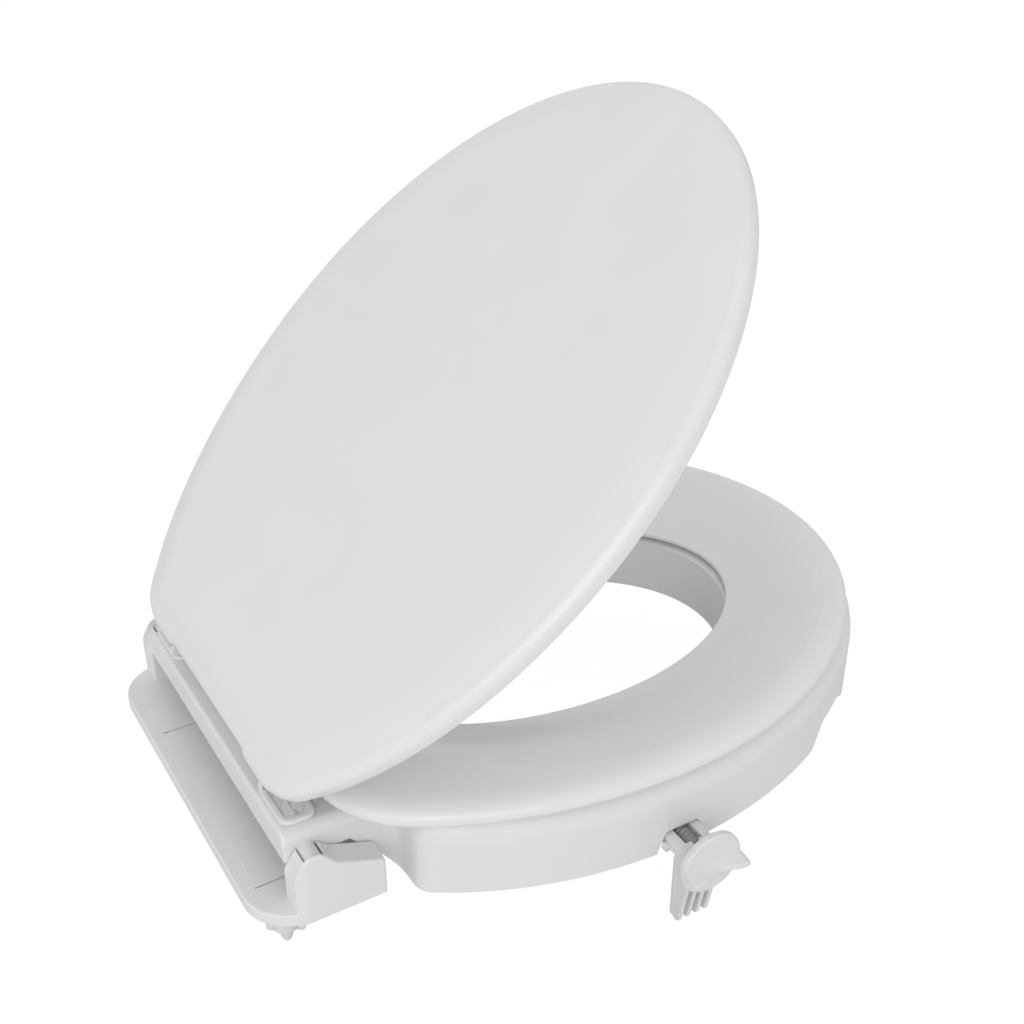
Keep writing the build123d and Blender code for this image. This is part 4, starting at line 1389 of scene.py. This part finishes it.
    def build(self) -> None:
        """Makes the clamp and dresses its nut."""
        word = self.side.word
        pose_piece(f"jaw_{word}", self.jaw_bulks(), Finishes.FIXING, f"clamp_{word}", [f"clamp_jaw_{word}"])
        start, length = self.side.stretch(self.spindle_end, self.knob_place + self.knob[1] / 2)
        rod = Bulk.threaded(
            self.spindle, 0.7, 3.0, length, Vector((start, self.y, self.z)), Facing.LEFTWARD, 32)
        pose_piece(f"spindle_{word}", [rod], Finishes.SPINDLE, f"knob_{word}", [f"clamp_spindle_{word}"])
        pose_piece(
            f"knob_{word}_grip", self.knob_bulks(), Finishes.FIXING, f"knob_{word}", [f"clamp_knob_{word}"])
        dress_node(f"clamp_nut_{word}", Finishes.STEEL)


@dataclass
class Studio:
    """Camera, floor, world and lamps of the picture."""

    camera_place: tuple[float, float, float] = (-0.6428367, 0.1837386, 0.5778382)
    azimuth: float = 1.037287937
    elevation: float = 0.540252118
    lens: float = 50.0
    sensor: float = 36.0
    floor_height: float = -0.0619
    floor_size: float = 30.0

    def camera(self) -> None:
        """Sets the camera at the viewing angle of the photograph."""
        data = bpy.data.cameras.new("studio_camera")
        data.lens = self.lens
        data.sensor_width = self.sensor
        data.sensor_fit = "HORIZONTAL"
        data.clip_end = 100.0
        eye = bpy.data.objects.new("studio_camera", data)
        bpy.context.scene.collection.objects.link(eye)
        ahead = Vector((
            math.sin(self.azimuth) * math.cos(self.elevation),
            -math.cos(self.azimuth) * math.cos(self.elevation),
            -math.sin(self.elevation)))
        eye.location = self.camera_place
        eye.rotation_euler = ahead.to_track_quat("-Z", "Y").to_euler()
        bpy.context.scene.camera = eye

    def floor(self) -> None:
        """Lays the pale floor, white to the eye but still holding a soft shadow."""
        mesh = bmesh.new()
        bmesh.ops.create_grid(mesh, x_segments=8, y_segments=8, size=self.floor_size)
        data = bpy.data.meshes.new("studio_floor")
        mesh.to_mesh(data)
        mesh.free()
        floor = bpy.data.objects.new("studio_floor", data)
        floor.location.z = self.floor_height
        bpy.context.scene.collection.objects.link(floor)
        made = bpy.data.materials.new("pale_floor")
        made.use_nodes = True
        nodes, links = made.node_tree.nodes, made.node_tree.links
        nodes.clear()
        out = nodes.new("ShaderNodeOutputMaterial")
        path = nodes.new("ShaderNodeLightPath")
        matte = nodes.new("ShaderNodeBsdfDiffuse")
        matte.inputs["Color"].default_value = (0.8, 0.8, 0.8, 1.0)
        seen = nodes.new("ShaderNodeBsdfDiffuse")
        seen.inputs["Color"].default_value = (0.10, 0.10, 0.10, 1.0)
        glow = nodes.new("ShaderNodeEmission")
        glow.inputs["Color"].default_value = (0.95, 0.95, 0.95, 1.0)
        both = nodes.new("ShaderNodeAddShader")
        links.new(seen.outputs["BSDF"], both.inputs[0])
        links.new(glow.outputs["Emission"], both.inputs[1])
        first = nodes.new("ShaderNodeMath")
        first.operation = "MAXIMUM"
        links.new(path.outputs["Is Camera Ray"], first.inputs[0])
        links.new(path.outputs["Is Transmission Ray"], first.inputs[1])
        mix = nodes.new("ShaderNodeMixShader")
        links.new(first.outputs["Value"], mix.inputs["Fac"])
        links.new(matte.outputs["BSDF"], mix.inputs[1])
        links.new(both.outputs["Shader"], mix.inputs[2])
        links.new(mix.outputs["Shader"], out.inputs["Surface"])
        data.materials.append(made)

    def world(self) -> None:
        """White backdrop to the eye and a soft even light on the object."""
        world = bpy.data.worlds.new("studio_world")
        bpy.context.scene.world = world
        world.use_nodes = True
        nodes, links = world.node_tree.nodes, world.node_tree.links
        nodes.clear()
        out = nodes.new("ShaderNodeOutputWorld")
        path = nodes.new("ShaderNodeLightPath")
        soft = nodes.new("ShaderNodeBackground")
        soft.inputs["Color"].default_value = (1.0, 1.0, 1.0, 1.0)
        soft.inputs["Strength"].default_value = 0.74
        white = nodes.new("ShaderNodeBackground")
        white.inputs["Color"].default_value = (1.0, 1.0, 1.0, 1.0)
        white.inputs["Strength"].default_value = 1.0
        mix = nodes.new("ShaderNodeMixShader")
        links.new(path.outputs["Is Camera Ray"], mix.inputs["Fac"])
        links.new(soft.outputs["Background"], mix.inputs[1])
        links.new(white.outputs["Background"], mix.inputs[2])
        links.new(mix.outputs["Shader"], out.inputs["Surface"])

    def lamp(self, name: str, place: tuple[float, float, float], aim: tuple[float, float, float],
             size: Pair, power: float) -> None:
        """Hangs one soft box.

        Args:
            name: Name of the lamp.
            place: Where it hangs.
            aim: Point it looks at.
            size: Width and height.
            power: Power in watts.
        """
        data = bpy.data.lights.new(name, "AREA")
        data.shape = "RECTANGLE"
        data.size, data.size_y = size
        data.energy = power
        box = bpy.data.objects.new(name, data)
        box.location = place
        box.rotation_euler = (Vector(aim) - Vector(place)).to_track_quat("-Z", "Y").to_euler()
        bpy.context.scene.collection.objects.link(box)

    def build(self) -> None:
        """Sets up the whole studio."""
        scene = bpy.context.scene
        scene.view_settings.view_transform = "Standard"
        self.camera()
        self.floor()
        self.world()
        middle = (0.0, -0.2, 0.1)
        self.lamp("key_box", (-1.9, 2.0, 1.5), middle, (2.4, 2.4), 17.0)
        self.lamp("fill_box", (-2.4, 0.75, 1.1), middle, (1.6, 1.6), 8.0)


def main() -> None:
    """Builds the pieces and the studio in order and logs the face count of each piece."""
    logging.basicConfig(level=logging.INFO, format="%(message)s")
    hinge = HingeLine()
    Lid(hinge).build()
    SeatRing(hinge).build()
    Riser().build()
    RearPlate().build()
    FixingSet().build()
    HingeSet(hinge).build()
    for side in Side:
        SideClamp(side).build()
    Studio().build()


if __name__ == "__main__":
    main()
